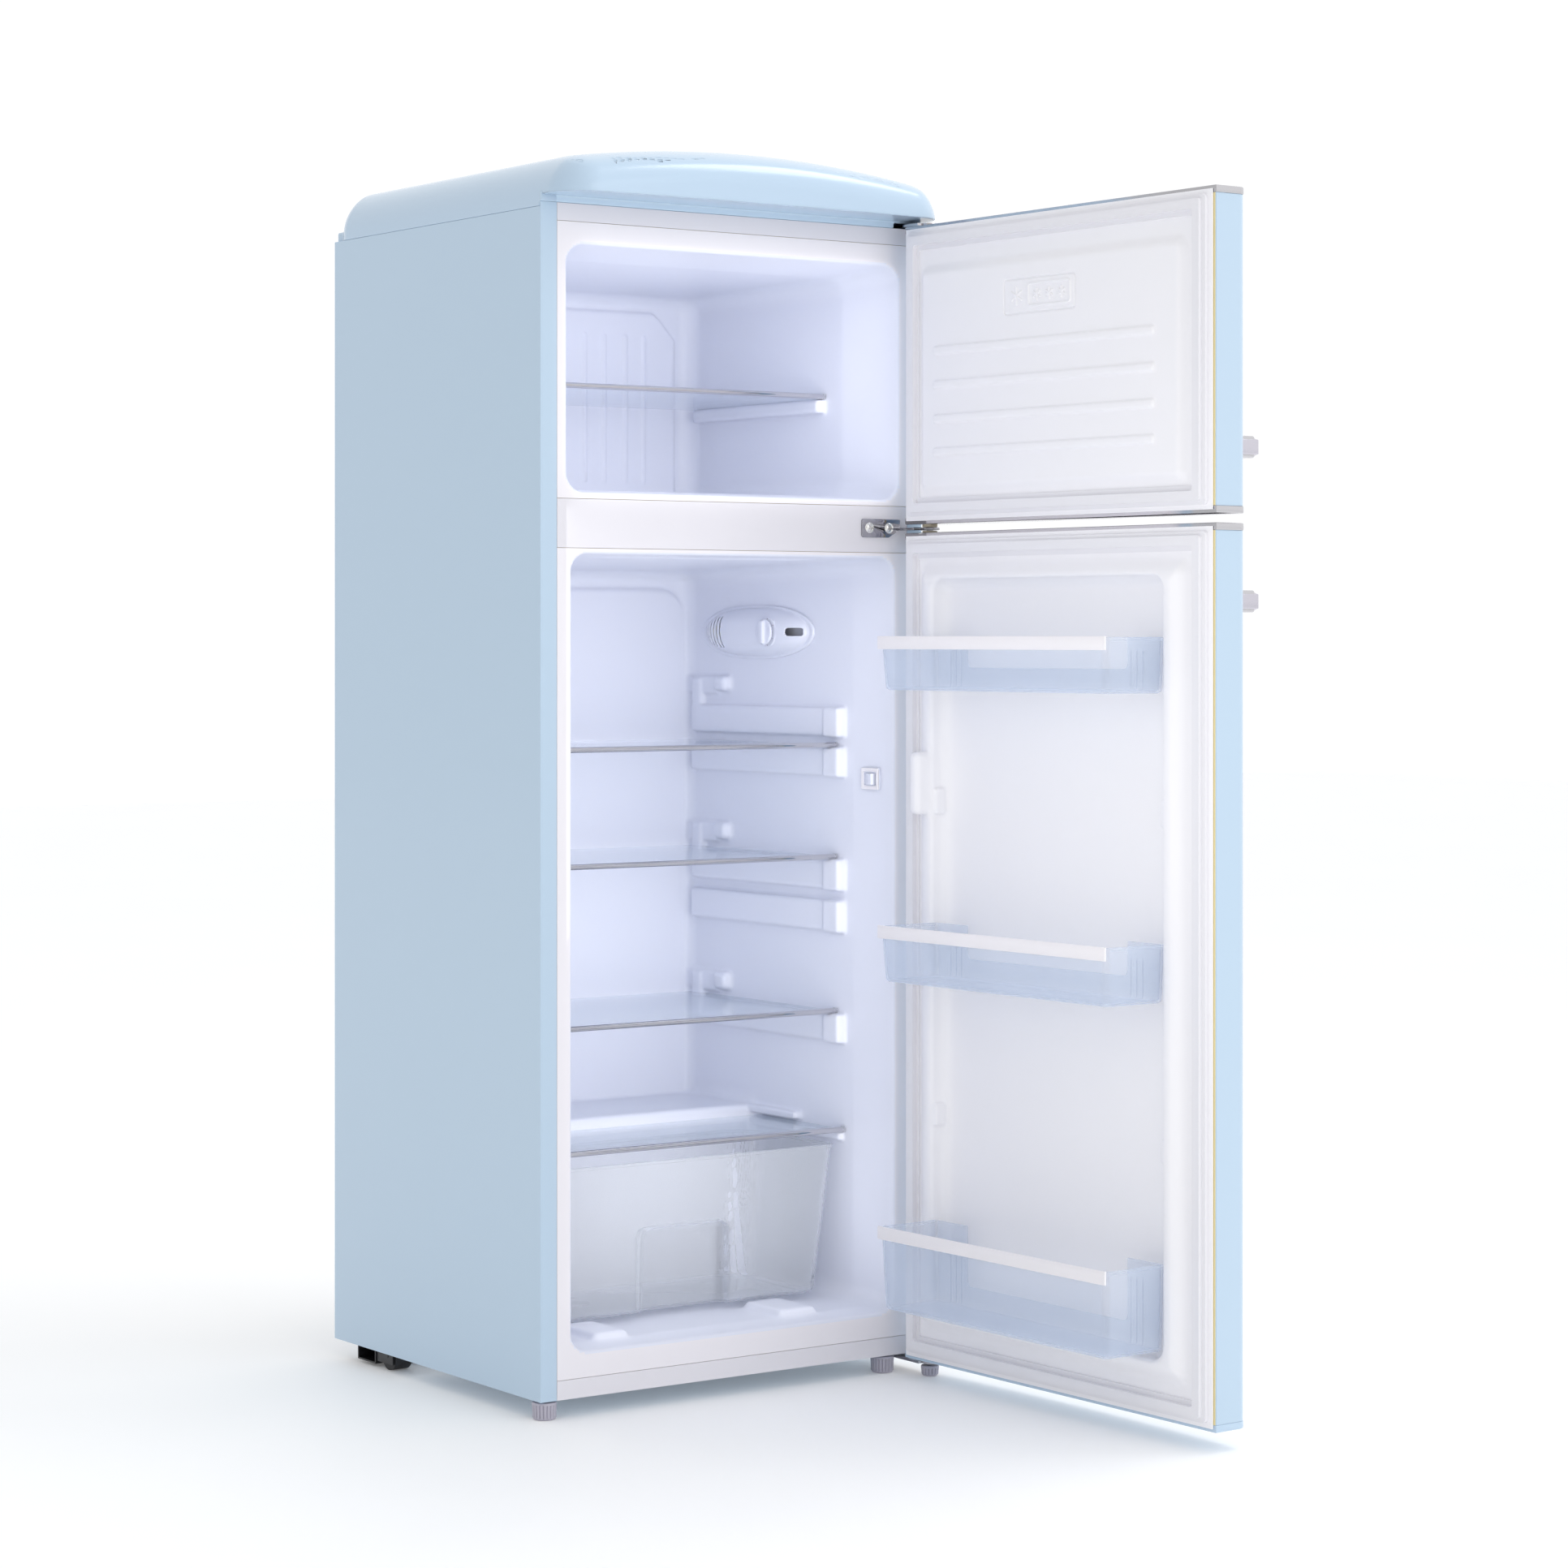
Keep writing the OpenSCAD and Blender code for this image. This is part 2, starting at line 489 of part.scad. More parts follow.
// ---------------------------------------------------------------- doors
// outline of a door seen from above, inset by g, inner face at y_in
crown_x = hw - door_r;
crown_R = (crown_x*crown_x + door_crown*door_crown)/(2*door_crown);
function crown(x) = -(9 + door_t + door_crown) + x*x/(2*crown_R);
function door_out(g, y_in) = let (cy = -(9 + door_t) + door_r) concat([[hw - g, y_in]],
  [for (a = [0 : 15 : 90]) [hw - door_r + (door_r - g)*cos(a), cy - (door_r - g)*sin(a)]],
  [for (i = [1 : 19]) let (x = crown_x*(1 - i/10)) [x, crown(x) + g]],
  [for (a = [90 : -15 : 0]) [-(hw - door_r) - (door_r - g)*cos(a), cy - (door_r - g)*sin(a)]],
  [[-hw + g, y_in]]);
module door_block(g, y_in, z0, z1) linear_extrude_z(z0, z1) polygon(door_out(g, y_in));
module pin_hole(z0, z1) cyl_z(hx, hy, z0, z1, pin_r + run);

module door_skin(z0, z1) color(blue) door_pose() difference() {
  door_block(0, -11.2, z0 + trim_h, z1 - trim_h);
  door_block(1, -5, z0, z1);
}
module freezer_door_skin() door_skin(zfr0, zfr1);
module fridge_door_skin() door_skin(zfi0, zfi1);

module freezer_door_foam() color([0.94, 0.88, 0.66]) door_pose() difference() {
  door_block(1, -11.2, zfr0 + trim_h, zfr1 - trim_h);
  pin_hole(zfr0, zfr0 + 16); pin_hole(zfr1 - 17, zfr1);
}
module fridge_door_foam() color([0.94, 0.88, 0.66]) door_pose() difference() {
  door_block(1, -11.2, zfi0 + trim_h, zfi1 - trim_h);
  box([-206.2, -19.2, 90], [206.2, 0, 972]);
  pin_hole(zfi0, zfi0 + 20); pin_hole(zfi1 - 17, zfi1);
}

module freezer_door_liner() color(white) door_pose() {
  box([-270.5, -11, zfr0 + 4], [270.5, -9, zfr1 - 4]);
  difference() {
    hull() {
      xz(-9.5, -9) rr(-230, 238, 1074, 1346, 14);
      xz(-4, -2) rr(-224, 232, 1081, 1339, 12);
    }
    // sunk frame of the rating mark
    difference() {
      xz(-3, 0) rr(-50, 78, 1278, 1320, 4);
      xz(-5, 1) rr(-48, 76, 1280, 1318, 3);
    }
  }
  // four wide stiffening ribs
  for (z = [1122, 1162, 1203, 1244]) xz(-2.2, 0.6) rr(-184, 208, z - 6, z + 6, 5.9);
  // raised marks: six armed star and three small ones in a frame
  for (a = [0, 60, 120]) translate([54, -1.4, 1299]) rotate([0, a, 0]) cube([22, 1.4, 2.2], center = true);
  difference() {
    xz(-2.2, -0.8) rr(-42, 34, 1285, 1313, 4);
    xz(-3, 0) rr(-40, 32, 1287, 1311, 3);
  }
  for (x = [-26, -4, 18], a = [0, 60, 120]) translate([x, -1.6, 1299]) rotate([0, a, 0]) cube([14, 1.4, 1.8], center = true);
}
module fridge_door_liner() color(white) door_pose() {
  difference() {
    union() {
      box([-270.5, -11, zfi0 + 4], [270.5, -9, zfi1 - 4]);
      hull() {
        xz(-9.5, -9) rr(-238, 238, 68, 987, 18);
        xz(5.5, 6) rr(-221, 221, 84, 978, 14);
      }
      box([-206, -19, 90.2], [206, -9, 971.8]);
    }
    xz(-17, 8) rr(-203.8, 203.8, 92.4, 969.6, 16);
  }
  // spare lugs for the bins on both stiles
  both() for (z = [[687, 719], [313, 340]]) box([197.5, -5, z[0]], [204.5, 3, z[1]]);
  // boss that works the door switch
  linear_extrude_z(687, 762) polygon([[223, -9], [223, 12], [222.5, 24], [219, 26.5], [211, 26.5], [207, 23], [205, -9]]);
}

module gasket(z0, z1) color([0.95, 0.95, 0.96]) door_pose() difference() {
  union() {
    xz(-9, -4.5) rr(-264, 264, z0 + 9.5, z1 - 9.5, 5);
    xz(-5, -0.3) rr(-258, 258, z0 + 14, z1 - 14, 4);
  }
  xz(-12, 2) rr(-242, 243, z0 + 31, z1 - 31, 3);
  xz(-6.5, 2) rr(-247, 247, z0 + 25, z1 - 25, 4);
}
module freezer_door_gasket() gasket(zfr0, zfr1);
module fridge_door_gasket() gasket(zfi0, zfi1);

module trim(z0, z1, g) door_pose() difference() {
  door_block(g, -10.6, z0, z1);
  children();
}
module freezer_door_top_trim() color(chrome) trim(zfr1 - trim_h, zfr1, -1) {
  pin_hole(zfr1 - 20, zfr1 + 1);
  box([-280, -11.1, 0], [280, 0, zfr1 - 4]);
}
module freezer_door_bottom_trim() color(chrome) trim(zfr0, zfr0 + trim_h, -1) {
  pin_hole(zfr0 - 1, zfr0 + 20);
  box([-280, -11.1, zfr0 + 4], [280, 0, 2000]);
}
module fridge_door_top_trim() color(chrome) trim(zfi1 - trim_h, zfi1, -1) {
  pin_hole(zfi1 - 20, zfi1 + 1);
  box([-280, -11.1, 0], [280, 0, zfi1 - 4]);
}
module fridge_door_bottom_cap() color(blue) {
  trim(zfi0, zfi0 + trim_h, -0.6) {
    pin_hole(zfi0 - 1, zfi0 + 20);
    box([-280, -11.1, zfi0 + 4], [280, 0, 2000]);
  }
  door_pose() cyl_z(-56, -30, zfi0 - 4, zfi0 + 1, 4);
}

module handle(z) color(chrome) door_pose() difference() {
  union() {
    yz_r(-248, -92, -101, -88, z - 10, z + 10, 3.5);
    yz_r(-248, -224, -95, -55, z - 14, z + 14, 4);
    yz_r(-116, -92, -95, -60, z - 14, z + 14, 4);
  }
  door_block(0, -5, z - 40, z + 40);
}
module yz_r(x0, x1, y0, y1, z0, z1, r) yz(x0, x1) rr(y0, y1, z0, z1, r);
module freezer_door_handle() handle(1113);
module fridge_door_handle() handle(940);

// door bin between z0 and z1, inset by g
module bin_form(z0, z1, g) intersection() {
  xz(-30, 100) polygon([[-198.5 + g, z0 + g], [198.5 - g, z0 + g], [202 - g, z1 + (g > 0 ? 5 : 0)], [-202 + g, z1 + (g > 0 ? 5 : 0)]]);
  yz(-210, 210) polygon([[-1 + g, z0 + g], [83 - g, z0 + g], [87 - g, z1 + (g > 0 ? 5 : 0)], [-1 + g, z1 + (g > 0 ? 5 : 0)]]);
}
module bin(z0, z1) color(bluec) door_pose() difference() {
  bin_form(z0, z1, 0);
  bin_form(z0, z1, 2);
  // the back wall is low between its two ears
  xz(-5, 2.5) rr(-142, 142, z0 + 26, z1 + 30, 8);
}
module bin_trim(z1) color(white) door_pose() difference() {
  box([-203.6, 84, z1 - 15], [203.6, 89.4, z1 + 0.8]);
  box([-202.3, 80, z1 - 30], [202.3, 87.3, z1 - 1]);
  box([-202.3, 80, z1 - 30], [202.3, 87.3, z1 + 0.1]);
}
module door_bin_1() bin(837, 900);
module door_bin_2() bin(491, 557);
module door_bin_3() bin(102, 200);
module door_bin_1_trim() bin_trim(900);
module door_bin_2_trim() bin_trim(557);
module door_bin_3_trim() bin_trim(200);

cabinet_shell();
back_panel();
insulation_foam();
freezer_liner();
fridge_liner();
front_cross_rails();
top_cap();
top_hinge();
middle_hinge();
bottom_hinge();
hinge_screws();
front_foot_left();
front_foot_right();
hinge_foot();
rear_base_rail();
rear_rollers();
compressor();
terminal_box();
condenser_coil();
evaporator_plates();
filter_drier();
drain_pan();
drain_tube();
power_inlet();
thermostat_housing();
lamp();
thermostat_knob();
door_switch_plate();
door_switch_rocker();
freezer_shelf_glass();
freezer_shelf_trim();
shelf_1_glass();
shelf_1_trim();
shelf_2_glass();
shelf_2_trim();
shelf_3_glass();
shelf_3_trim();
crisper_cover_glass();
crisper_cover_trim();
crisper_drawer();
freezer_door_skin();
freezer_door_foam();
freezer_door_liner();
freezer_door_gasket();
freezer_door_top_trim();
freezer_door_bottom_trim();
freezer_door_handle();
fridge_door_skin();
fridge_door_foam();
fridge_door_liner();
fridge_door_gasket();
fridge_door_top_trim();
fridge_door_bottom_cap();
fridge_door_handle();
door_bin_1();
door_bin_1_trim();
door_bin_2();
door_bin_2_trim();
door_bin_3();
door_bin_3_trim();
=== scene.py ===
import bpy
import bmesh
import json
import math
import numpy as np
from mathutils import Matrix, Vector


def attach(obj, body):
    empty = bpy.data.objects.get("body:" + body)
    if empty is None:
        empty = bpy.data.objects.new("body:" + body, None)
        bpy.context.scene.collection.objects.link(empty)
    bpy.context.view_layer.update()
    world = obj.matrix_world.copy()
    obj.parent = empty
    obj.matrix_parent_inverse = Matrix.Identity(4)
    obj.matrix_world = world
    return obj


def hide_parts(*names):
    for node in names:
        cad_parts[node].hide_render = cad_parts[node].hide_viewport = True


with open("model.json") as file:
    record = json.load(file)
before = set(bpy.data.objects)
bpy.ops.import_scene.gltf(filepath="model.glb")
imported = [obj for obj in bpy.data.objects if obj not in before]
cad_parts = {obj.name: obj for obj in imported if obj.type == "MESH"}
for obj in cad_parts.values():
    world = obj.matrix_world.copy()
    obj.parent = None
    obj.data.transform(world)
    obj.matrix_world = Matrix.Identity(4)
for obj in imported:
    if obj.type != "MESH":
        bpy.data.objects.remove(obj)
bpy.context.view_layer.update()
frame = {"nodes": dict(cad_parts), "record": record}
NODES = frame["nodes"]
scene = bpy.context.scene

# ------------------------------------------------------------------ frame
# Working numbers are millimetres in the cabinet's frame: X 0 at its middle,
# Y 0 at its front face, Z 0 on the floor. Doors are drawn closed, then turned.
OX, OY = 31.0, -37.0
HX, HY = 259.0, -37.0
SCREWS = ((250, 32), (262, 50))
OPEN = math.radians(91.5)


def place(co, door=False):
    co = np.array(co, float).reshape(-1, 3)
    if door:
        c, s = math.cos(OPEN), math.sin(OPEN)
        dx, dy = co[:, 0] - HX, co[:, 1] - HY
        co = np.stack([HX + dx * c - dy * s, HY + dx * s + dy * c, co[:, 2]], 1)
    return (co - np.array([OX, OY, 0.0])) / 1000.0


# ------------------------------------------------------------------ camera
cam_data = bpy.data.cameras.new("camera")
cam = bpy.data.objects.new("camera", cam_data)
scene.collection.objects.link(cam)
cam.location = (-2.56725, -3.65386, 0.900)
cam.rotation_euler = (math.radians(90), 0, math.radians(-35.2))
cam_data.sensor_width = 36
cam_data.lens = 86.57
cam_data.shift_y = -0.0937
cam_data.clip_end = 100
scene.camera = cam

# ------------------------------------------------------------------ materials


def lin(r, g, b):
    def f(v):
        v /= 255.0
        return v / 12.92 if v <= 0.04045 else ((v + 0.055) / 1.055) ** 2.4
    return (f(r), f(g), f(b), 1.0)


class Mat:
    def __init__(self, name):
        self.m = bpy.data.materials.new(name)
        self.m.use_nodes = True
        self.nt = self.m.node_tree
        self.b = self.nt.nodes["Principled BSDF"]
        self.co = self.nt.nodes.new("ShaderNodeTexCoord")

    def set(self, **kw):
        for k, v in kw.items():
            self.b.inputs[k.replace("_", " ")].default_value = v
        return self

    def noise(self, scale, detail=2.0, rough=0.5, stretch=None):
        n = self.nt.nodes.new("ShaderNodeTexNoise")
        n.inputs["Scale"].default_value = scale
        n.inputs["Detail"].default_value = detail
        n.inputs["Roughness"].default_value = rough
        if stretch:
            mp = self.nt.nodes.new("ShaderNodeMapping")
            mp.inputs["Scale"].default_value = stretch
            self.nt.links.new(self.co.outputs["Object"], mp.inputs["Vector"])
            self.nt.links.new(mp.outputs["Vector"], n.inputs["Vector"])
        else:
            self.nt.links.new(self.co.outputs["Object"], n.inputs["Vector"])
        return n.outputs["Fac"]

    def ramp(self, fac, a, b, lo=0.35, hi=0.65):
        r = self.nt.nodes.new("ShaderNodeValToRGB")
        r.color_ramp.elements[0].position = lo
        r.color_ramp.elements[1].position = hi
        r.color_ramp.elements[0].color = a
        r.color_ramp.elements[1].color = b
        self.nt.links.new(fac, r.inputs["Fac"])
        return r.outputs["Color"]

    def colour(self, fac, a, b, lo=0.35, hi=0.65):
        self.nt.links.new(self.ramp(fac, a, b, lo, hi), self.b.inputs["Base Color"])
        return self

    def rough(self, fac, a, b):
        r = self.nt.nodes.new("ShaderNodeMapRange")
        r.inputs["From Min"].default_value = 0.3
        r.inputs["From Max"].default_value = 0.7
        r.inputs["To Min"].default_value = a
        r.inputs["To Max"].default_value = b
        self.nt.links.new(fac, r.inputs["Value"])
        self.nt.links.new(r.outputs["Result"], self.b.inputs["Roughness"])
        return self

    def bump(self, fac, strength, distance):
        n = self.nt.nodes.new("ShaderNodeBump")
        n.inputs["Strength"].default_value = strength
        n.inputs["Distance"].default_value = distance
        self.nt.links.new(fac, n.inputs["Height"])
        self.nt.links.new(n.outputs["Normal"], self.b.inputs["Normal"])
        return self


def shade(c, k):
    return (c[0] * k, c[1] * k, c[2] * k, 1.0)


def paint(name, col, rough=0.28, coat=0.35, orange=0.06):
    m = Mat(name)
    m.colour(m.noise(1.3, 2), shade(col, 0.998), shade(col, 1.002), 0.1, 0.9)
    m.rough(m.noise(6, 2), rough - 0.004, rough + 0.004)
    m.bump(m.noise(300, 1), orange * 0.2, 0.0001)
    m.set(Coat_Weight=coat, Coat_Roughness=0.12, Specular_IOR_Level=0.5)
    return m.m


def plastic(name, col, rough=0.4, grain=0.05, scale=900, coat=0.0, vary=0.005):
    m = Mat(name)
    m.colour(m.noise(2.0, 2), shade(col, 1 - vary), shade(col, 1 + vary), 0.2, 0.8)
    m.rough(m.noise(8, 2), rough - 0.012, rough + 0.018)
    m.bump(m.noise(scale, 2), grain, 0.0003)
    m.set(Coat_Weight=coat, Coat_Roughness=0.15)
    return m.m


def metal(name, col, rough=0.1, vary=0.03, scale=25, brush=None, grain=0.02):
    m = Mat(name)
    m.colour(m.noise(6, 3), shade(col, 1 - vary), shade(col, 1 + vary))
    m.rough(m.noise(scale, 3, stretch=brush), max(rough - 0.03, 0.02), rough + 0.05)
    m.bump(m.noise(scale * 12, 2, stretch=brush), grain, 0.0002)
    m.set(Metallic=1.0)
    return m.m


def clear(name, col, face=0.12, edge=0.8, rough=0.05, blend=0.25):
    """Thin clear moulding: thin where it faces the eye, denser along its edges."""
    m = Mat(name)
    m.colour(m.noise(8, 2), shade(col, 0.985), shade(col, 1.0))
    m.rough(m.noise(20, 2), rough, rough + 0.03)
    m.bump(m.noise(40, 2), 0.02, 0.0003)
    lw = m.nt.nodes.new("ShaderNodeLayerWeight")
    lw.inputs["Blend"].default_value = blend
    r = m.nt.nodes.new("ShaderNodeMapRange")
    r.inputs["To Min"].default_value = face
    r.inputs["To Max"].default_value = edge
    m.nt.links.new(lw.outputs["Facing"], r.inputs["Value"])
    m.nt.links.new(r.outputs["Result"], m.b.inputs["Alpha"])
    m.set(Specular_IOR_Level=0.6)
    return m.m


BLUE = lin(189, 211, 230)
M = {
    "blue_paint": paint("blue_paint", BLUE),
    "blue_plastic": paint("blue_plastic", lin(189, 211, 231), 0.24, 0.4, 0.02),
    "galvanised": metal("galvanised", (0.62, 0.64, 0.66), 0.42, 0.08, 12, None, 0.05),
    "foam": plastic("foam", lin(240, 224, 170), 0.9, 0.4, 260, 0, 0.05),
    # bluer, slightly darker white for the liners' inside faces: painted shade of the cavities, set against frame_white
    # on the flanges; the thermostat cover and knob use it too
    "liner_white": plastic("liner_white", lin(232, 235, 247), 0.36, 0.04, 700, 0.1),
    "frame_white": plastic("frame_white", lin(241, 238, 243), 0.4, 0.04, 700, 0.1),
    "rail_white": paint("rail_white", lin(230, 228, 234), 0.36, 0.1, 0.05),
    # near-pure white, brighter than frame_white: painted light that lifts the door liners, whose faces the lights
    # barely reach
    "door_white": plastic("door_white", lin(252, 251, 254), 0.36, 0.03, 700, 0.1),
    "trim_white": plastic("trim_white", lin(246, 243, 246), 0.3, 0.02, 700, 0.2),
    "chrome": metal("chrome", (0.60, 0.59, 0.61), 0.06, 0.02, 25, None, 0.01),
    "handle_chrome": metal("handle_chrome", (0.62, 0.60, 0.66), 0.16, 0.03, 30, None, 0.02),
    "zinc_steel": metal("zinc_steel", (0.42, 0.42, 0.45), 0.3, 0.06, 40, (1, 8, 1), 0.04),
    "grey_plastic": plastic("grey_plastic", lin(184, 181, 194), 0.5, 0.12, 600, 0, 0.02),
    "black_steel": paint("black_steel", (0.012, 0.012, 0.014, 1), 0.4, 0.1, 0.1),
    "black_plastic": plastic("black_plastic", (0.02, 0.02, 0.022, 1), 0.55, 0.2, 500, 0, 0.1),
    "aluminium_plate": metal("aluminium_plate", (0.7, 0.71, 0.73), 0.35, 0.04, 30, (1, 6, 1), 0.03),
    "copper": metal("copper", (0.72, 0.40, 0.27), 0.28, 0.08, 30, None, 0.03),
    "drain_plastic": plastic("drain_plastic", lin(222, 222, 226), 0.5, 0.08, 500),
    "lamp_glass": plastic("lamp_glass", lin(250, 244, 226), 0.3, 0.05, 300, 0.3),
    "shelf_glass": clear("shelf_glass", lin(214, 228, 244), 0.10, 0.55, 0.03, 0.35),
    "clear_plastic": clear("clear_plastic", lin(236, 241, 251), 0.08, 0.66, 0.05, 0.3),
    "blue_clear_plastic": clear("blue_clear_plastic", lin(218, 231, 252), 0.13, 0.72, 0.06, 0.3),
    "gasket_white": plastic("gasket_white", lin(240, 239, 243), 0.6, 0.1, 400),
}
slot_of = {s["node"]: s["material_slot"] for s in frame["record"]["subparts"]}
for name, ob in NODES.items():
    mat = M[slot_of[name]]
    # painted light: the door liners get the brighter door_white in place of their own white
    if name in ("freezer_door_liner", "fridge_door_liner"):
        mat = M["door_white"]
    if name.endswith("_handle"):
        mat = M["handle_chrome"]
    if not ob.data.materials:
        ob.data.materials.append(mat)
    for i in range(len(ob.data.materials)):
        ob.data.materials[i] = mat

# ------------------------------------------------------------------ mesh tools


def piece(name, co, faces, body, mat, door=False, angle=40, replaces=(), solid=0.0, offset=-1):
    me = bpy.data.meshes.new(name)
    me.from_pydata(place(co, door).tolist(), [], [list(map(int, f)) for f in faces])
    me.validate()
    if len(faces) < 20000:
        bm = bmesh.new()
        bm.from_mesh(me)
        bmesh.ops.recalc_face_normals(bm, faces=bm.faces[:])
        bm.to_mesh(me)
        bm.free()
    me.materials.append(M[mat] if isinstance(mat, str) else mat)
    ob = bpy.data.objects.new(name, me)
    scene.collection.objects.link(ob)
    if solid:
        s = ob.modifiers.new("solid", "SOLIDIFY")
        s.thickness = solid / 1000.0
        s.offset = offset
        apply(ob)
    me = ob.data
    me.shade_smooth()
    me.set_sharp_from_angle(angle=math.radians(angle))
    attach(ob, body)
    if replaces:
        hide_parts(*replaces)
    return ob


def apply(ob):
    dg = bpy.context.evaluated_depsgraph_get()
    me = bpy.data.meshes.new_from_object(ob.evaluated_get(dg))
    old = ob.data
    ob.modifiers.clear()
    ob.data = me
    me.name = ob.name
    if old.users == 0:
        bpy.data.meshes.remove(old)


def grid(*segs):
    out = [segs[0][0]]
    for a, b, step in segs:
        n = max(1, int(round((b - a) / step)))
        out += [a + (b - a) * (i + 1) / n for i in range(n)]
    return np.array(out, float)


def rmax(a, b, r):
    if r <= 0:
        return np.maximum(a, b)
    return np.minimum(-r, np.maximum(a, b)) + np.hypot(np.maximum(a + r, 0), np.maximum(b + r, 0))


def rmin(a, b, r):
    return -rmax(-a, -b, r)


def rect2(x, z, x0, x1, z0, z1, r):
    """Signed distance to a rounded rectangle."""
    qx = np.abs(x - (x0 + x1) / 2) - (x1 - x0) / 2 + r
    qz = np.abs(z - (z0 + z1) / 2) - (z1 - z0) / 2 + r
    return np.hypot(np.maximum(qx, 0), np.maximum(qz, 0)) + np.minimum(np.maximum(qx, qz), 0) - r


def box3(x, y, z, b, r):
    x0, x1, y0, y1, z0, z1 = b
    qx = np.abs(x - (x0 + x1) / 2) - (x1 - x0) / 2 + r
    qy = np.abs(y - (y0 + y1) / 2) - (y1 - y0) / 2 + r
    qz = np.abs(z - (z0 + z1) / 2) - (z1 - z0) / 2 + r
    return np.sqrt(np.maximum(qx, 0) ** 2 + np.maximum(qy, 0) ** 2 + np.maximum(qz, 0) ** 2) \
        + np.minimum(np.maximum(np.maximum(qx, qy), qz), 0) - r


def nets(fn, xs, ys, zs):
    """Surface of fn(x, y, z) = 0 on an uneven grid, as points and quads facing the side where fn > 0."""
    F = fn(xs[:, None, None], ys[None, :, None], zs[None, None, :]).astype(np.float32)
    F = np.broadcast_to(F, (len(xs), len(ys), len(zs)))
    S = F < 0
    nc = (len(xs) - 1, len(ys) - 1, len(zs) - 1)
    acc = np.zeros(nc + (3,), np.float32)
    cnt = np.zeros(nc, np.int32)
    axes = [xs, ys, zs]
    edges = []
    for a in range(3):
        lo = [slice(None)] * 3
        hi = [slice(None)] * 3
        lo[a] = slice(0, -1)
        hi[a] = slice(1, None)
        s0, s1 = S[tuple(lo)], S[tuple(hi)]
        I = np.argwhere(s0 != s1)
        f0 = F[tuple(lo)][tuple(I.T)]
        f1 = F[tuple(hi)][tuple(I.T)]
        t = f0 / (f0 - f1)
        P = np.zeros((len(I), 3), np.float32)
        for k in range(3):
            c = axes[k][I[:, k]]
            if k == a:
                c = c + t * (axes[k][I[:, k] + 1] - c)
            P[:, k] = c
        b, c = (a + 1) % 3, (a + 2) % 3
        cells = []
        for db, dc in ((0, 0), (-1, 0), (-1, -1), (0, -1)):
            J = I.copy()
            J[:, b] += db
            J[:, c] += dc
            ok = (J[:, b] >= 0) & (J[:, b] < nc[b]) & (J[:, c] >= 0) & (J[:, c] < nc[c])
            np.add.at(acc, tuple(J[ok].T), P[ok])
            np.add.at(cnt, tuple(J[ok].T), 1)
            cells.append((J, ok))
        good = cells[0][1] & cells[1][1] & cells[2][1] & cells[3][1]
        edges.append(([c[0][good] for c in cells], s0[tuple(I[good].T)]))
    idx = -np.ones(nc, np.int64)
    used = np.argwhere(cnt > 0)
    idx[tuple(used.T)] = np.arange(len(used))
    co = acc[tuple(used.T)] / cnt[tuple(used.T)][:, None]
    quads = []
    for cells, inside in edges:
        q = np.stack([idx[tuple(c.T)] for c in cells], 1)
        q[~inside] = q[~inside][:, ::-1]
        quads.append(q)
    quads = np.concatenate(quads)
    last = np.array(nc) - 1
    return co.astype(float), quads, used, last


def snap_edges(co, used, last, axis, lo, hi):
    co[used[:, axis] == 0, axis] = lo
    co[used[:, axis] == last[axis], axis] = hi


def rbox(x0, x1, y0, y1, z0, z1, r=1.0, seg=3, taper=None):
    """A box with rounded edges, as points and faces."""
    bm = bmesh.new()
    vs = [bm.verts.new((x, y, z)) for x in (x0, x1) for y in (y0, y1) for z in (z0, z1)]
    for f in ((0, 1, 3, 2), (4, 6, 7, 5), (0, 4, 5, 1), (2, 3, 7, 6), (0, 2, 6, 4), (1, 5, 7, 3)):
        bm.faces.new([vs[i] for i in f])
    if taper:
        for v in vs:
            taper(v)
    bmesh.ops.bevel(bm, geom=bm.edges[:], offset=r, offset_type="OFFSET", segments=seg, profile=0.5, affect="EDGES", clamp_overlap=True)
    bmesh.ops.recalc_face_normals(bm, faces=bm.faces[:])
    bm.verts.index_update()
    co = [tuple(v.co) for v in bm.verts]
    fs = [[v.index for v in f.verts] for f in bm.faces]
    bm.free()
    return co, fs


def join(*parts):
    co, fs, n = [], [], 0
    for c, f in parts:
        co += [tuple(p) for p in c]
        fs += [[i + n for i in q] for q in f]
        n += len(c)
    return co, fs


def rings(rs, close_start=True, close_end=True):
    """Skin a list of equal rings of points."""
    n = len(rs[0])
    co = [tuple(p) for r in rs for p in r]
    fs = []
    for j in range(len(rs) - 1):
        for i in range(n):
            k = (i + 1) % n
            fs.append([j * n + i, j * n + k, (j + 1) * n + k, (j + 1) * n + i])
    if close_start:
        fs.append(list(range(n))[::-1])
    if close_end:
        fs.append([(len(rs) - 1) * n + i for i in range(n)])
    return co, fs


def flip(part):
    return part[0], [f[::-1] for f in part[1]]


def rrect(x0, x1, z0, z1, r, seg=6):
    """Points of a rounded rectangle, counter-clockwise."""
    pts = []
    for cx, cz, a0 in ((x1 - r, z1 - r, 0), (x0 + r, z1 - r, 90), (x0 + r, z0 + r, 180), (x1 - r, z0 + r, 270)):
        for i in range(seg + 1):
            a = math.radians(a0 + 90.0 * i / seg)
            pts.append((cx + r * math.cos(a), cz + r * math.sin(a)))
    return pts


def lathe(profile, cx, cy, seg=48, flutes=0, depth=0.0, zone=None):
    """Turned part about a vertical axis; flutes cut its side between the zone's heights."""
    rs = []
    for r, z in profile:
        ring = []
        for i in range(seg):
            a = 2 * math.pi * i / seg
            k = r
            if flutes and zone and zone[0] <= z <= zone[1]:
                k = r - depth * max(0.0, math.cos(flutes * a)) ** 2
            ring.append((cx + k * math.cos(a), cy + k * math.sin(a), z))
        rs.append(ring)
    return rings(rs)


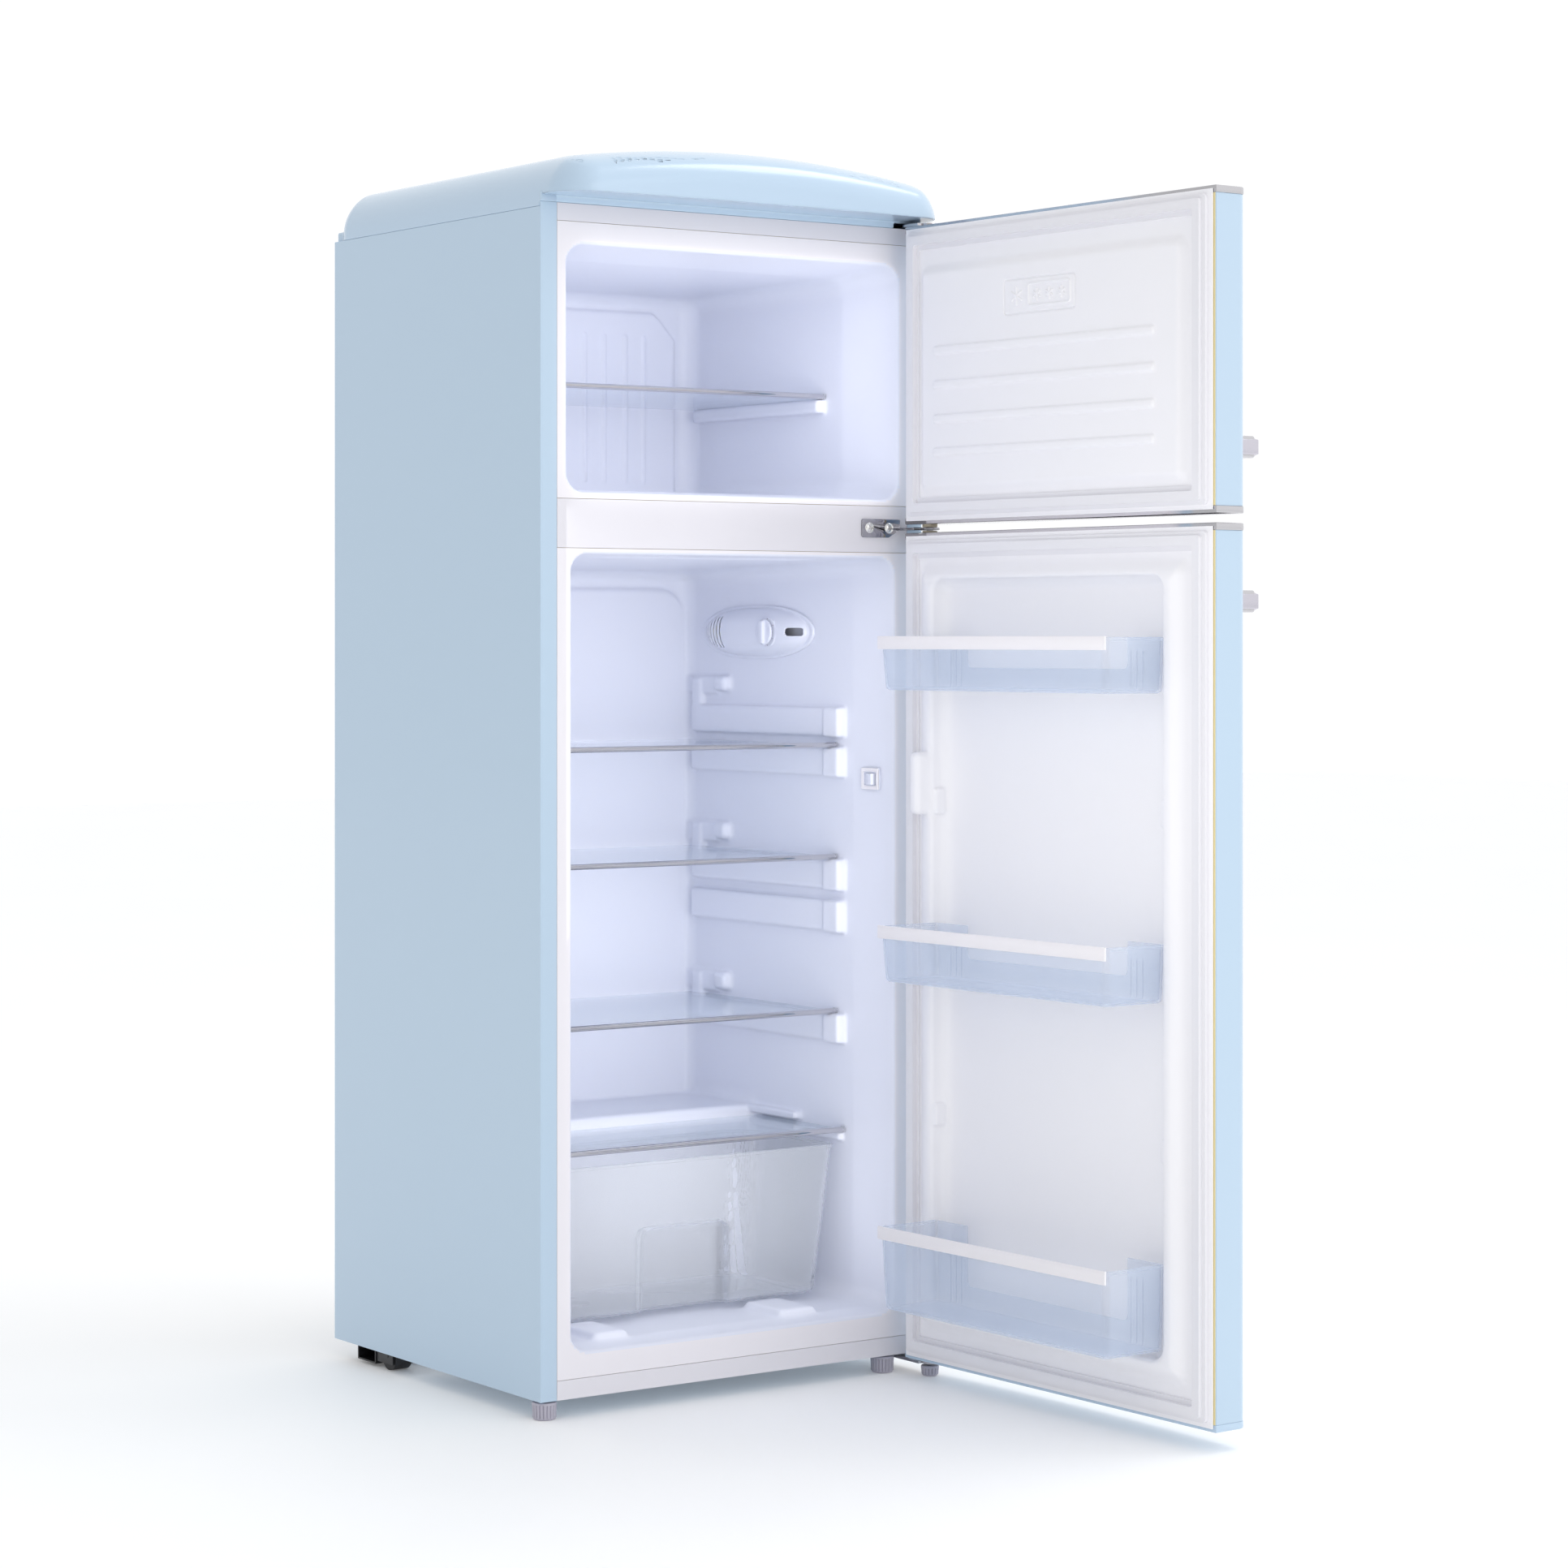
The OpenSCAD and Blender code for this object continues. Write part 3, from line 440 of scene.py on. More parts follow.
# ------------------------------------------------------------------ liners
def fridge_air(x, y, z):
    ax = np.abs(x)
    wx = np.interp(y, [0, 14, 75, 500], [232, 230, 225, 225])
    zc = np.interp(y, [0, 445], [996.3, 986])
    zf = np.interp(y, [0, 30, 500], [74.7, 80, 80])
    cav = rmax(ax - wx, z - zc, 22)
    cav = rmax(cav, zf - z, 22)
    cav = rmax(cav, y - 445, 24)
    cav = rmax(cav, -rmax(288 - y, z - 301, 8), 12)
    # raised field of the rear wall
    cav = rmax(cav, -rmax(rect2(x, z, -214, 214, 250, 962, 34), 438 - y, 4), 7)
    solid = None
    for z0, z1 in ((777, 812), (727, 762), (586, 623), (534, 572), (397, 431)):
        b = box3(ax, y, z, (215, 250, 92, 423, z0, z1), 3)
        b = rmin(b, box3(ax, y, z, (211.5, 250, 90, 123, z0 - 1, z1 + 0.3), 3.5), 3)
        solid = b if solid is None else np.minimum(solid, b)
    for z0, z1 in ((830, 850), (638, 660), (443, 466)):
        solid = np.minimum(solid, box3(ax, y, z, (212, 250, 340, 368, z0, z1), 7))
        solid = np.minimum(solid, box3(ax, y, z, (219, 250, 366, 440, z0 - 4, z1), 4))
        solid = np.minimum(solid, box3(ax, y, z, (216, 250, 400, 424, z0 - 26, z1 - 2), 5))
    solid = np.minimum(solid, box3(ax, y, z, (217, 250, 95, 288, 275, 285), 2))
    solid = np.minimum(solid, box3(ax, y, z, (214, 250, 188, 292, 291.5, 301.3), 2.5))
    cav = rmax(cav, -solid, 3)
    # raised pads on the floor and rows of slots in the ceiling
    for x0, x1 in ((-184, -137), (81, 134)):
        cav = rmax(cav, -box3(x, y, z, (x0, x1, 26, 105, 60, 88), 5), 6)
    for ys in (60, 75, 90):
        cav = rmin(cav, box3(x, y, z, (-150, 150, ys, ys + 4, 975, 999), 1.5), 1)
    return -rmin(cav, y + 0 * cav, 3.2)


def freezer_air(x, y, z):
    ax = np.abs(x)
    wx = np.interp(y, [0, 100, 500], [238.5, 226, 226])
    zc = np.interp(y, [0, 100, 437], [1353.9, 1345, 1343])
    zf = np.interp(y, [0, 100, 437], [1067.3, 1074.5, 1076])
    cav = rmax(ax - wx, z - zc, 24)
    cav = rmax(cav, zf - z, 24)
    cav = rmax(cav, y - 437, 24)
    # raised rear field with cut top corners
    ws = 196 - np.clip(z - 1288, 0, 30) * 0.9
    fld = rmax(rmax(ax - ws, z - 1322, 10), 429.5 - y, 4)
    cav = rmax(cav, -fld, 6)
    solid = box3(ax, y, z, (212, 250, 134, 415, 1180, 1197), 4)
    for xr in (146, 118, 85.5, 56):
        solid = np.minimum(solid, box3(ax, y, z, (xr - 1.5, xr + 1.5, 427.6, 450, 1102, 1291), 1.4))
    cav = rmax(cav, -solid, 4)
    return -rmin(cav, y + 0 * cav, 3.2)


def liner(name, fn, xs, ys, zs, zlim, node):
    co, q, used, last = nets(fn, xs, ys, zs)
    snap_edges(co, used, last, 0, -251.7, 251.7)
    snap_edges(co, used, last, 2, zlim[0], zlim[1])
    ob = piece(name, co, q, "cabinet", "liner_white", replaces=(node,), angle=60)
    # painted shade: only the front flange faces get frame_white, and the inside faces of the same moulding keep the
    # bluer, slightly darker liner_white, which stands in for the tinted shade of the cavities
    ob.data.materials.append(M["frame_white"])
    front = [p.index for p in ob.data.polygons if p.center.y < (0.6 - OY) / 1000.0]
    for i in front:
        ob.data.polygons[i].material_index = 1
    s = ob.modifiers.new("solid", "SOLIDIFY")
    s.thickness = 0.0016
    s.offset = -1
    apply(ob)
    ob.data.set_sharp_from_angle(angle=math.radians(60))
    return ob


fx = grid((-252.2, -240, 4), (-240, -200, 2.5), (-200, -190, 5), (-190, -131, 3), (-131, 75, 13), (75, 140, 3), (140, 200, 9),
          (200, 240, 2.5), (240, 252.2, 4))
fy = grid((-4, 14, 2), (14, 56, 5), (56, 128, 2.3), (128, 280, 10), (280, 306, 2.5), (306, 338, 6), (338, 374, 2.5),
          (374, 396, 5), (396, 450, 2.3))
fz = grid((44.8, 60, 4), (60, 106, 2.5), (106, 268, 12), (268, 306, 2.2), (306, 390, 8), (390, 475, 2.5), (475, 528, 6),
          (528, 668, 2.5), (668, 720, 6), (720, 856, 2.5), (856, 916, 8), (916, 1003, 2.6))
liner("fridge_liner_moulding", fridge_air, fx, fy, fz, (45.0, 1002.6), "fridge_liner")
zx = grid((-252.2, -244, 3), (-244, -165, 2.5), (-165, -152, 4), (-152, -50, 1.4), (-50, 50, 10), (50, 152, 1.4), (152, 165, 4), (165, 244, 2.5), (244, 252.2, 3))
zy = grid((-4, 12, 2), (12, 126, 6), (126, 150, 2.5), (150, 400, 10), (400, 422, 2.4), (422, 442, 1.4))
zz = grid((1059.9, 1066, 2), (1066, 1102, 2.4), (1102, 1172, 7), (1172, 1204, 2.2), (1204, 1276, 7), (1276, 1358, 2.4), (1358, 1379.4, 3))
liner("freezer_liner_moulding", freezer_air, zx, zy, zz, (1060.1, 1379.0), "freezer_liner")


# door liners: fn < 0 is plastic, the room side is +Y while the door is closed
def fridge_door_solid(x, y, z):
    g = np.clip((y + 9) / 15.0, 0, 1) * 17
    out = rect2(x, z, -238, 238, 67.5, 987, 18) + g
    dyke = rmax(out, y - 6, 6)
    s = rmin(y + 9, dyke, 5)
    rec = rmax(rect2(x, z, -203.8, 203.8, 92.4, 969.6, 18), -17 - y, 16)
    s = rmax(s, -rec, 6)
    for z0, z1 in ((687, 719), (313, 340)):
        s = rmin(s, box3(np.abs(x), y, z, (197.5, 212, -12, 3, z0, z1), 3), 3)
    s = rmin(s, box3(x, y, z, (206, 223, -12, 26, 687, 762), 7), 4)
    return s


def freezer_door_solid(x, y, z):
    g = np.clip((y + 9) / 7.0, 0, 1) * 6.5
    out = rect2(x, z, -230, 238, 1074, 1346, 14) + g
    pan = rmax(out, y + 2, 4)
    s = rmin(y + 9, pan, 5)
    for zr in (1122, 1162, 1203, 1244):
        s = rmin(s, box3(x, y, z, (-184, 208, -6, 1.5, zr - 5, zr + 5), 3.2), 1.6)
    ring = np.abs(rect2(x, z, -49, 77, 1279, 1319, 4)) - 1.2
    s = rmax(s, -rmax(ring, -3.6 - y, 0.4), 0.5)
    mark = np.abs(rect2(x, z, -41, 33, 1286, 1312, 4)) - 1.0
    for cx, n, hl, hw in ((54.5, 3, 11, 1.1), (-26, 3, 7, 0.9), (-4, 3, 7, 0.9), (18, 3, 7, 0.9)):
        for k in range(n):
            a = math.pi * k / n + math.pi / 2
            u = (x - cx) * math.cos(a) + (z - 1299) * math.sin(a)
            v = -(x - cx) * math.sin(a) + (z - 1299) * math.cos(a)
            mark = np.minimum(mark, np.maximum(np.abs(u) - hl, np.abs(v) - hw))
    s = rmin(s, rmax(mark, y + 0.3, 0.3), 0.4)
    return s


def door_liner(name, fn, xs, ys, zs, zlim, body, node):
    co, q, used, last = nets(fn, xs, ys, zs)
    snap_edges(co, used, last, 0, -270.5, 270.5)
    snap_edges(co, used, last, 2, zlim[0], zlim[1])
    return piece(name, co, q, body, "door_white", door=True, replaces=(node,), angle=60, solid=1.6)


dx = grid((-271, -244, 4), (-244, -180, 2.2), (-180, 180, 18), (180, 244, 2.2), (244, 271, 4))
dy = grid((-20, 8, 1.4), (8, 28, 2.5))
dz = grid((26.5, 56, 5), (56, 112, 2.2), (112, 306, 18), (306, 346, 2.2), (346, 680, 18), (680, 770, 2.2), (770, 940, 18), (940, 992, 2.2), (992, 1022.7, 5))
door_liner("fridge_door_inner_panel", fridge_door_solid, dx, dy, dz, (26.7, 1022.5), "fridge_door", "fridge_door_liner")
ex = grid((-271, -236, 4), (-236, -180, 2.2), (-180, -54, 12), (-54, 80, 0.9), (80, 200, 12), (200, 242, 2.2), (242, 271, 4))
ey = grid((-11, -5, 1.2), (-5, 1.6, 0.55))
ez = grid((1040.8, 1070, 5), (1070, 1112, 2), (1112, 1256, 2), (1256, 1276, 4), (1276, 1322, 0.9), (1322, 1350, 2), (1350, 1395.1, 5))
door_liner("freezer_door_inner_panel", freezer_door_solid, ex, ey, ez, (1041.0, 1395.0), "freezer_door", "freezer_door_liner")

# ------------------------------------------------------------------ domed lid
CAP_R = 1560.0


def lid_outer(x, y, z, g=0.0):
    """Crowned lid: bowed front, a fascia that leans back, then a soft crease and the flat dome."""
    arch = np.hypot(x, z - (1474.5 - CAP_R)) - CAP_R
    side = np.abs(x) - 274.0
    bow = -58.0 - 7.5 * (1 - (x / 274.0) ** 2)
    front = (bow - y) * 0.998
    plan = rmax(side, front, 46)
    body = rmax(plan, arch, 47)
    shoulder = rmax(side, arch, 32)
    body = np.maximum(body, shoulder)
    t = np.clip(13 - y, 0, 90)
    top = (z - (1474.0 - (CAP_R - np.sqrt(CAP_R ** 2 - x ** 2))) + (150 - np.sqrt(150.0 ** 2 - t ** 2))) * 0.95
    body = rmax(body, top, 5)
    body = rmax(body, y - 494, 34)
    return body + g


def lid_solid(x, y, z):
    o = lid_outer(x, y, z)
    o = rmin(o, box3(x, y, z, (-268, 268, 470, 497, 1390, 1407), 2.5), 2)
    o = rmax(o, 1394.5 - z, 0.8)
    o = rmax(o, -rmax(y, z - 1408.0, 0.6), 1.6)
    o = np.maximum(o, -np.maximum(np.maximum(y - 2.4, z - 1399.9), -y - 3))
    hollow = np.maximum(lid_outer(x, y, z, 3.2), np.where(y < 6, 1411.5 - z, 1380 - z))
    o = np.maximum(o, -hollow)
    return np.maximum(o, -box3(x, y, z, (232, 272.5, -6, 9, 1380, 1406.5), 0.5))


lx = grid((-277, -205, 1.8), (-205, 205, 10), (205, 277, 1.8))
ly = grid((-69, -4, 1.4), (-4, 12, 1.4), (12, 30, 4), (30, 444, 26), (444, 500, 2.4))
lz = grid((1391, 1412, 1.4), (1412, 1477, 1.4))
co, q, used, last = nets(lid_solid, lx, ly, lz)


def settle(fn, co, turns=3):
    """Moves points onto fn = 0 along its slope."""
    for _ in range(turns):
        x, y, z = co.T
        e = 0.05
        f = fn(x, y, z)
        g = np.stack([fn(x + e, y, z) - f, fn(x, y + e, z) - f, fn(x, y, z + e) - f], 1) / e
        n = (g ** 2).sum(1)
        step = np.where(n > 0.3, f / np.maximum(n, 0.3), 0)
        co = co - np.clip(step, -0.6, 0.6)[:, None] * g
    return co


lid = piece("lid_shell", co, q, "cabinet", "blue_plastic", replaces=("top_cap",), angle=80)


def even_normals(ob, co, fn, ok, e=1.2):
    """Gives the vertices picked by ok the normal of fn itself."""
    x, y, z = co.T
    g = np.stack([fn(x + e, y, z) - fn(x - e, y, z), fn(x, y + e, z) - fn(x, y - e, z), fn(x, y, z + e) - fn(x, y, z - e)], 1)
    g /= np.maximum(np.linalg.norm(g, axis=1), 1e-6)[:, None]
    g[~ok] = 0.0
    ob.data.normals_split_custom_set_from_vertices(g.tolist())


# painted light: a lighter copy of the lid blue goes on the front lip band, which the deep overhang above keeps in shade
M["lid_lip_painted_light"] = paint("lid_lip_painted_light", lin(207, 229, 247), 0.3, 0.3, 0.02)
lid.data.materials.append(M["lid_lip_painted_light"])
for pl in lid.data.polygons:
    cy, cz = pl.center.y * 1000 + OY, pl.center.z * 1000
    if -1.5 < cy < 4 and cz < 1409.5 and abs(pl.normal.y) > 0.6:
        pl.material_index = 1
even_normals(lid, co, lid_outer, (np.abs(lid_outer(*co.T)) < 1.3) & (co[:, 2] > 1397.5) & (co[:, 1] < 492))
# corner lug where the lid meets the left front strip
c, f = rbox(-274.6, -253.5, -2.2, 3, 1399.9, 1411, 1.2, 3)
piece("lid_corner_lug", c, f, "cabinet", "blue_plastic")

# ------------------------------------------------------------------ bins, drawer, shelves
def bin_solid(z0, z1):
    def fn(x, y, z):
        t = np.clip((z - z0) / (z1 - z0), 0, 1.1)
        hx_, y1 = 198.5 + 3.5 * t, 83 + 4 * t

        def tub(g):
            ax = np.abs(x)
            d = rmax(ax - hx_ + g, y - y1 + g, 9 - g)
            d = rmax(d, -1 + g - y, 3)
            return rmax(d, z0 + g - z, 5)
        d = np.maximum(tub(0), -tub(2.0))
        d = rmax(d, z - z1, 0.5)
        notch = rmax(rmax(np.abs(x) - 142, y - 5, 0.1), z0 + 26 - z, 8)
        d = rmax(d, -notch, 0.7)
        # stiffening ribs low in the back corners and a rolled rim on the side walls
        for k in (150, 160, 170):
            d = np.minimum(d, box3(np.abs(x), y, z, (k - 0.8, k + 0.8, 0.4, 3.2, z0 + 3, z1 - 16), 0.7))
        return rmin(d, box3(np.abs(x), y, z, (201, 203.4, 0.5, 80, z1 - 3.2, z1), 1.0), 0.6)
    return fn


for i, (z0, z1) in enumerate(((837, 900), (491, 557), (102, 200)), 1):
    gx = grid((-205, -194, 0.9), (-194, -173, 2.5), (-173, -132, 1.0), (-132, 132, 22), (132, 173, 1.0), (173, 194, 2.5), (194, 205, 0.9))
    gy = grid((-2.5, 7, 0.8), (7, 70, 7), (70, 79, 2), (79, 89, 0.85))
    gz = grid((z0 - 1.5, z0 + 8, 1.0), (z0 + 8, z0 + 22, 4.6), (z0 + 22, z0 + 38, 1.6), (z0 + 38, z1 - 8, 7), (z1 - 8, z1 + 1.2, 1.0))
    fn = bin_solid(z0, z1)
    co, q, used, last = nets(fn, gx, gy, gz)
    co = settle(fn, co, 2)
    piece(f"bin_{i}_tray", co, q, f"bin_{i}", "blue_clear_plastic", door=True, replaces=(f"door_bin_{i}",), angle=45)
    # white strip along the front, a shallow channel that grips the rim
    prof = [(0, z1 + 0.8), (0.5, z1 + 1.1), (1.6, z1 + 1.1), (2.1, z1 + 0.6), (2.3, z1 - 6), (2.1, z1 - 13.5), (1.5, z1 - 14.4), (0.6, z1 - 14.4), (0, z1 - 13.8)]
    rs = []
    n = 40
    for k in range(n + 1):
        x = -202.5 + 405 * k / n
        e = max(0.0, abs(x) - 196) / 6.5
        rs.append([(x, 87.15 - 0.6 * e * e + a, z) for a, z in prof])
    c, f = rings(rs)
    piece(f"bin_{i}_strip", c, f, f"bin_{i}", "trim_white", door=True, replaces=(f"door_bin_{i}_trim",), angle=50)


def drawer_solid(x, y, z):
    t = np.clip((z - 88.4) / 183.6, 0, 1.1)
    hx_, yf, yr = 190 + 22 * t, 101 - 8 * t, 276 + 4 * t
    ax = np.abs(x)

    def tub(g):
        d = rmax(ax - hx_ + g, yf + g - y, 16 - g)
        d = rmax(d, y - yr + g, 42 - g)
        return rmax(d, 88.4 + g - z, 9 - g)
    rec = rmax(rmax(np.abs(x + 7) - 62, y - 118, 8), z - 190, 13)
    o = rmax(tub(0), -rec, 2.4)
    i = rmax(tub(2.2), -(rec - 2.2), 4)
    d = np.maximum(o, -i)
    d = rmax(d, z - 271.6, 0.6)
    # rolled rim
    rim = np.maximum(np.abs(tub(0) + 0.2) - 2.6, np.abs(z - 269.6) - 1.6)
    return rmin(d, rim, 1.2)


gx = grid((-216, -186, 1.05), (-186, -74, 7), (-74, -64, 1.1), (-64, 50, 8), (50, 60, 1.1), (60, 186, 7), (186, 216, 1.05))
gy = grid((90, 124, 1.05), (124, 232, 6), (232, 272, 2.4), (272, 283, 1.0))
gz = grid((86.5, 100, 1.1), (100, 172, 6), (172, 196, 1.8), (196, 262, 6), (262, 273, 0.9))
co, q, used, last = nets(drawer_solid, gx, gy, gz)
co = settle(drawer_solid, co, 2)
piece("crisper_drawer_tub", co, q, "crisper_drawer_body", "clear_plastic", replaces=("crisper_drawer",), angle=45)


def shelf(name, body, x, y0, y1, z, node_g, node_t, ty):
    """Glass with polished edges in a bright front rail with a lip under the glass."""
    c, f = rings([[(a, b, z + h) for a, b in rrect(-x + e, x - e, y0 + e, y1 - e, 4 - e)] for e, h in ((0.7, 0.3), (0.0, 1.0), (0.0, 3.6), (0.7, 4.3))])
    piece(name + "_pane", c, f, body, "shelf_glass", replaces=(node_g,), angle=30)
    prof = []
    for k in range(13):
        a = math.radians(90 + 180 * k / 12)
        prof.append((ty + 3.3 + 3.3 * math.cos(a), z + 3.8 + 3.4 * math.sin(a)))
    prof += [(ty + 7.9, z + 0.4), (ty + 7.9, z + 7.2)]
    rs = []
    for k in range(31):
        px = -x + 2 * x * k / 30.0
        rs.append([(px, a, b) for a, b in prof])
    c, f = rings(rs)
    ends = [rbox(s * x - (3.0 if s > 0 else 0), s * x + (3.0 if s < 0 else 0), ty - 0.4, ty + 7.95, z + 0.2, z + 7.4, 0.8, 2) for s in (-1, 1)]
    piece(name + "_rail", c, f, body, "chrome", replaces=(node_t,), angle=50)
    for k, (c, f) in enumerate(ends):
        piece(f"{name}_rail_end_{'lr'[k]}", c, f, body, "clear_plastic", angle=50)


shelf("freezer_shelf", "freezer_shelf", 224.6, 140, 425, 1197, "freezer_shelf_glass", "freezer_shelf_trim", 132)
for i, z in ((1, 762), (2, 623), (3, 431)):
    shelf(f"shelf_{i}", f"shelf_{i}", 223.4, 113, 425, z, f"shelf_{i}_glass", f"shelf_{i}_trim", 105)
shelf("crisper_cover", "crisper_cover", 223.4, 97, 272, 285, "crisper_cover_glass", "crisper_cover_trim", 89)

# ------------------------------------------------------------------ thermostat and lamp cover
TX, TZ, KY = 224.98, 906.5, 231.0


def housing(x, y, z, g=0.0):
    dy, dz = y - 280.0, z - TZ
    hl = np.where(dy < 0, 125.0, 124.0)
    hh = 34.0
    rho = (np.abs(dy / hl) ** 2.4 + np.abs(dz / hh) ** 2.0) ** (1 / 2.2)
    h = (TX - x) / (24.5 - g)
    base = np.maximum((rho * (1 + g / 34.0) - 1) * 30, (TX - 4.0 + g - x) if g == 0 else (TX - 3.5 - x))
    dome = ((h ** 2 + (rho * (1.09 + g / 34.0)) ** 2.8) - 1) * 9.0
    return rmin(base, dome, 1.2)


def housing_solid(x, y, z):
    d = np.maximum(housing(x, y, z), -housing(x, y, z, 2.0))
    d = np.maximum(d, x - TX)
    dish = np.hypot(y - KY, z - TZ) - 18.2
    d = rmax(d, -np.maximum(dish, x - (TX - 21.5)), 0.8)
    d = np.maximum(d, -(np.hypot(y - KY, z - TZ) - 5.2))
    floor_ = np.maximum(np.maximum(dish - 1.5, np.abs(x - (TX - 21.0)) - 1.0), 5.2 - np.hypot(y - KY, z - TZ))
    d = np.minimum(d, floor_)
    slot_ = np.maximum(rect2(y, z, 170, 196, TZ - 5, TZ + 5, 4.9), x - 222)
    d = rmax(d, -slot_, 0.6)
    for k in range(6):
        yy = 336 + 8.5 * k
        hh = 20 - 0.55 * k ** 1.6
        d = np.maximum(d, -np.maximum(np.maximum(np.abs(y - yy - (z - TZ) * 0.12) - 1.6, np.abs(z - TZ) - hh), x - (TX - 4.5)))
    return d


gx = grid((198, 226.5, 0.85))
gy = grid((152, 410, 1.35))
gz = grid((870, 943, 1.35))
co, q, used, last = nets(housing_solid, gx, gy, gz)
piece("thermostat_cover", co, q, "cabinet", "liner_white", replaces=("thermostat_housing",), angle=60)


def knob_solid(x, y, z):
    r = np.hypot(y - KY, z - TZ)
    ang = np.arctan2(z - TZ, y - KY)
    d = rmax(r - 16.2 + 0.35 * np.cos(24 * ang), np.abs(x - 199.1) - 2.0, 1.2)
    bar = box3(x, y, z, (192.8, 200, KY - 4.6, KY + 4.6, TZ - 15, TZ + 15), 2.6)
    d = rmin(d, bar, 2.2)
    return np.minimum(d, np.maximum(r - 4.9, np.abs(x - 208) - 9))


co, q, used, last = nets(knob_solid, grid((190, 218, 0.8)), grid((KY - 18, KY + 18, 0.8)), grid((TZ - 18, TZ + 18, 0.8)))
piece("thermostat_knob_cap", co, q, "thermostat_knob_body", "liner_white", replaces=("thermostat_knob",), angle=60)
for k in range(7):
    a = math.radians(-150 + 50 * k)
    c, f = rbox(TX - 22.9, TX - 21.7, KY + 17.0 * math.cos(a) - 0.7, KY + 17.0 * math.cos(a) + 0.7, TZ + 17.0 * math.sin(a) - 0.7, TZ + 17.0 * math.sin(a) + 0.7, 0.3, 2)
    piece(f"thermostat_mark_{k}", c, f, "cabinet", "grey_plastic")

# ------------------------------------------------------------------ door switch
c, f = rings([[(224.9 - h, y, z) for y, z in rrect(21.4 + e, 56.7 - e, 712.4 + e, 739 - e, 1.8)] for e, h in ((0, 0), (0, 0.8), (0.5, 1.4), (4.2, 1.45), (4.6, 1.0), (4.6, -1.5))], False, False)
piece("door_switch_bezel", c, f, "cabinet", "trim_white", angle=40)

# ------------------------------------------------------------------ door outsides
HWID, DR, DC = 274.0, 12.0, 9.0


def door_outline(g=0.0, y_in=-11.2, n=64):
    cx = HWID - DR
    R = (cx * cx + DC * DC) / (2 * DC)
    cy = -59.0 + DR
    pts = [(HWID - g, y_in)]
    for k in range(13):
        a = math.radians(90 * k / 12)
        pts.append((HWID - DR + (DR - g) * math.cos(a), cy - (DR - g) * math.sin(a)))
    for k in range(1, n):
        x = cx * (1 - 2 * k / n)
        pts.append((x, -(9 + 50 + DC) + x * x / (2 * R) + g))
    for k in range(12, -1, -1):
        a = math.radians(90 * k / 12)
        pts.append((-(HWID - DR) - (DR - g) * math.cos(a), cy - (DR - g) * math.sin(a)))
    pts.append((-HWID + g, y_in))
    return pts


def door_shell(name, z0, z1, body, node):
    """Sheet steel wrap: crowned front, rounded edges, and a return lip behind."""
    lip = 9.0
    out = [(HWID - lip, -11.4), (HWID - 1.2, -11.4)] + door_outline(0.0, -12.2) + [(-HWID + 1.2, -11.4), (-HWID + lip, -11.4)]
    inn = [(HWID - lip, -12.4), (HWID - 1.6, -12.4)] + door_outline(1.0, -13.0) + [(-HWID + 1.6, -12.4), (-HWID + lip, -12.4)]
    ring = out + inn[::-1]
    c, f = rings([[(x, y, z) for x, y in ring] for z in (z0 + 8.5, z1 - 8.5)], False, False)
    n, k = len(ring), len(out)
    for i in range(k - 1):
        a, b = i, n - 1 - i
        f.append([a + 1, a, b, b - 1])
        f.append([n + a, n + a + 1, n + b - 1, n + b])
    return piece(name, c, f, body, "blue_paint", door=True, replaces=(node,), angle=35)


door_shell("freezer_door_wrap", 1036.9, 1399.0, "freezer_door", "freezer_door_skin")
door_shell("fridge_door_wrap", 22.7, 1026.5, "fridge_door", "fridge_door_skin")


def door_band(name, z0, z1, g, body, mat, node):
    """End cap of a door, with a rolled outer edge; its inner face stays level."""
    rs = []
    for e, z in ((1.3, z0), (0.4, z0 + 0.45), (0.0, z0 + 1.4), (0.0, z1 - 1.4), (0.4, z1 - 0.45), (1.3, z1)):
        rs.append([(x, y, z) for x, y in door_outline(g + e, -11.2 if e < 1 else -11.8)])
    c, f = rings(rs)
    return piece(name, c, f, body, mat, door=True, replaces=(node,) if node else (), angle=40)


door_band("freezer_door_top_band", 1390.5, 1399.0, -0.95, "freezer_door", "chrome", "freezer_door_top_trim")
door_band("freezer_door_bottom_band", 1036.9, 1045.4, -0.95, "freezer_door", "chrome", "freezer_door_bottom_trim")
door_band("fridge_door_top_band", 1018.0, 1026.5, -0.95, "fridge_door", "chrome", "fridge_door_top_trim")
door_band("fridge_door_bottom_band", 22.7, 31.2, -0.55, "fridge_door", "blue_plastic", "fridge_door_bottom_cap")
c, f = lathe([(0.2, 18.7), (3.2, 18.7), (4.0, 19.6), (4.0, 23.2)], -56, -30, 24)
piece("fridge_door_drip_peg", c, f, "fridge_door", "blue_plastic", door=True)

# ------------------------------------------------------------------ handles
for nm, zc, body in (("freezer_door", 1113, "freezer_door"), ("fridge_door", 940, "fridge_door")):
    parts = [rbox(-246.5, -93.5, -101.6, -88.2, zc - 10, zc + 10, 3.2, 5)]
    c, f = parts[0]
    piece(nm + "_handle_bar", c, f, body, "handle_chrome", door=True, replaces=(nm + "_handle",), angle=30)
    for s, (xa, xb) in (("outer", (-249.5, -223.5)), ("inner", (-116.5, -90.5))):
        yb = -59.2 if s == "outer" else -66.6
        c, f = join(rbox(xa + 2, xb - 2, -96.5, yb - 1.5, zc - 12.5, zc + 12.5, 2.6, 4), rbox(xa, xb, yb - 4.2, yb + 1.6, zc - 14.5, zc + 14.5, 1.6, 3))
        piece(f"{nm}_handle_post_{s}", c, f, body, "chrome", door=True, angle=30)
    c, f = rbox(-250.1, -246.2, -99.6, -61.5, zc - 8.5, zc + 8.5, 1.2, 3)
    piece(nm + "_handle_end_inlay", c, f, body, "handle_chrome", door=True, angle=30)

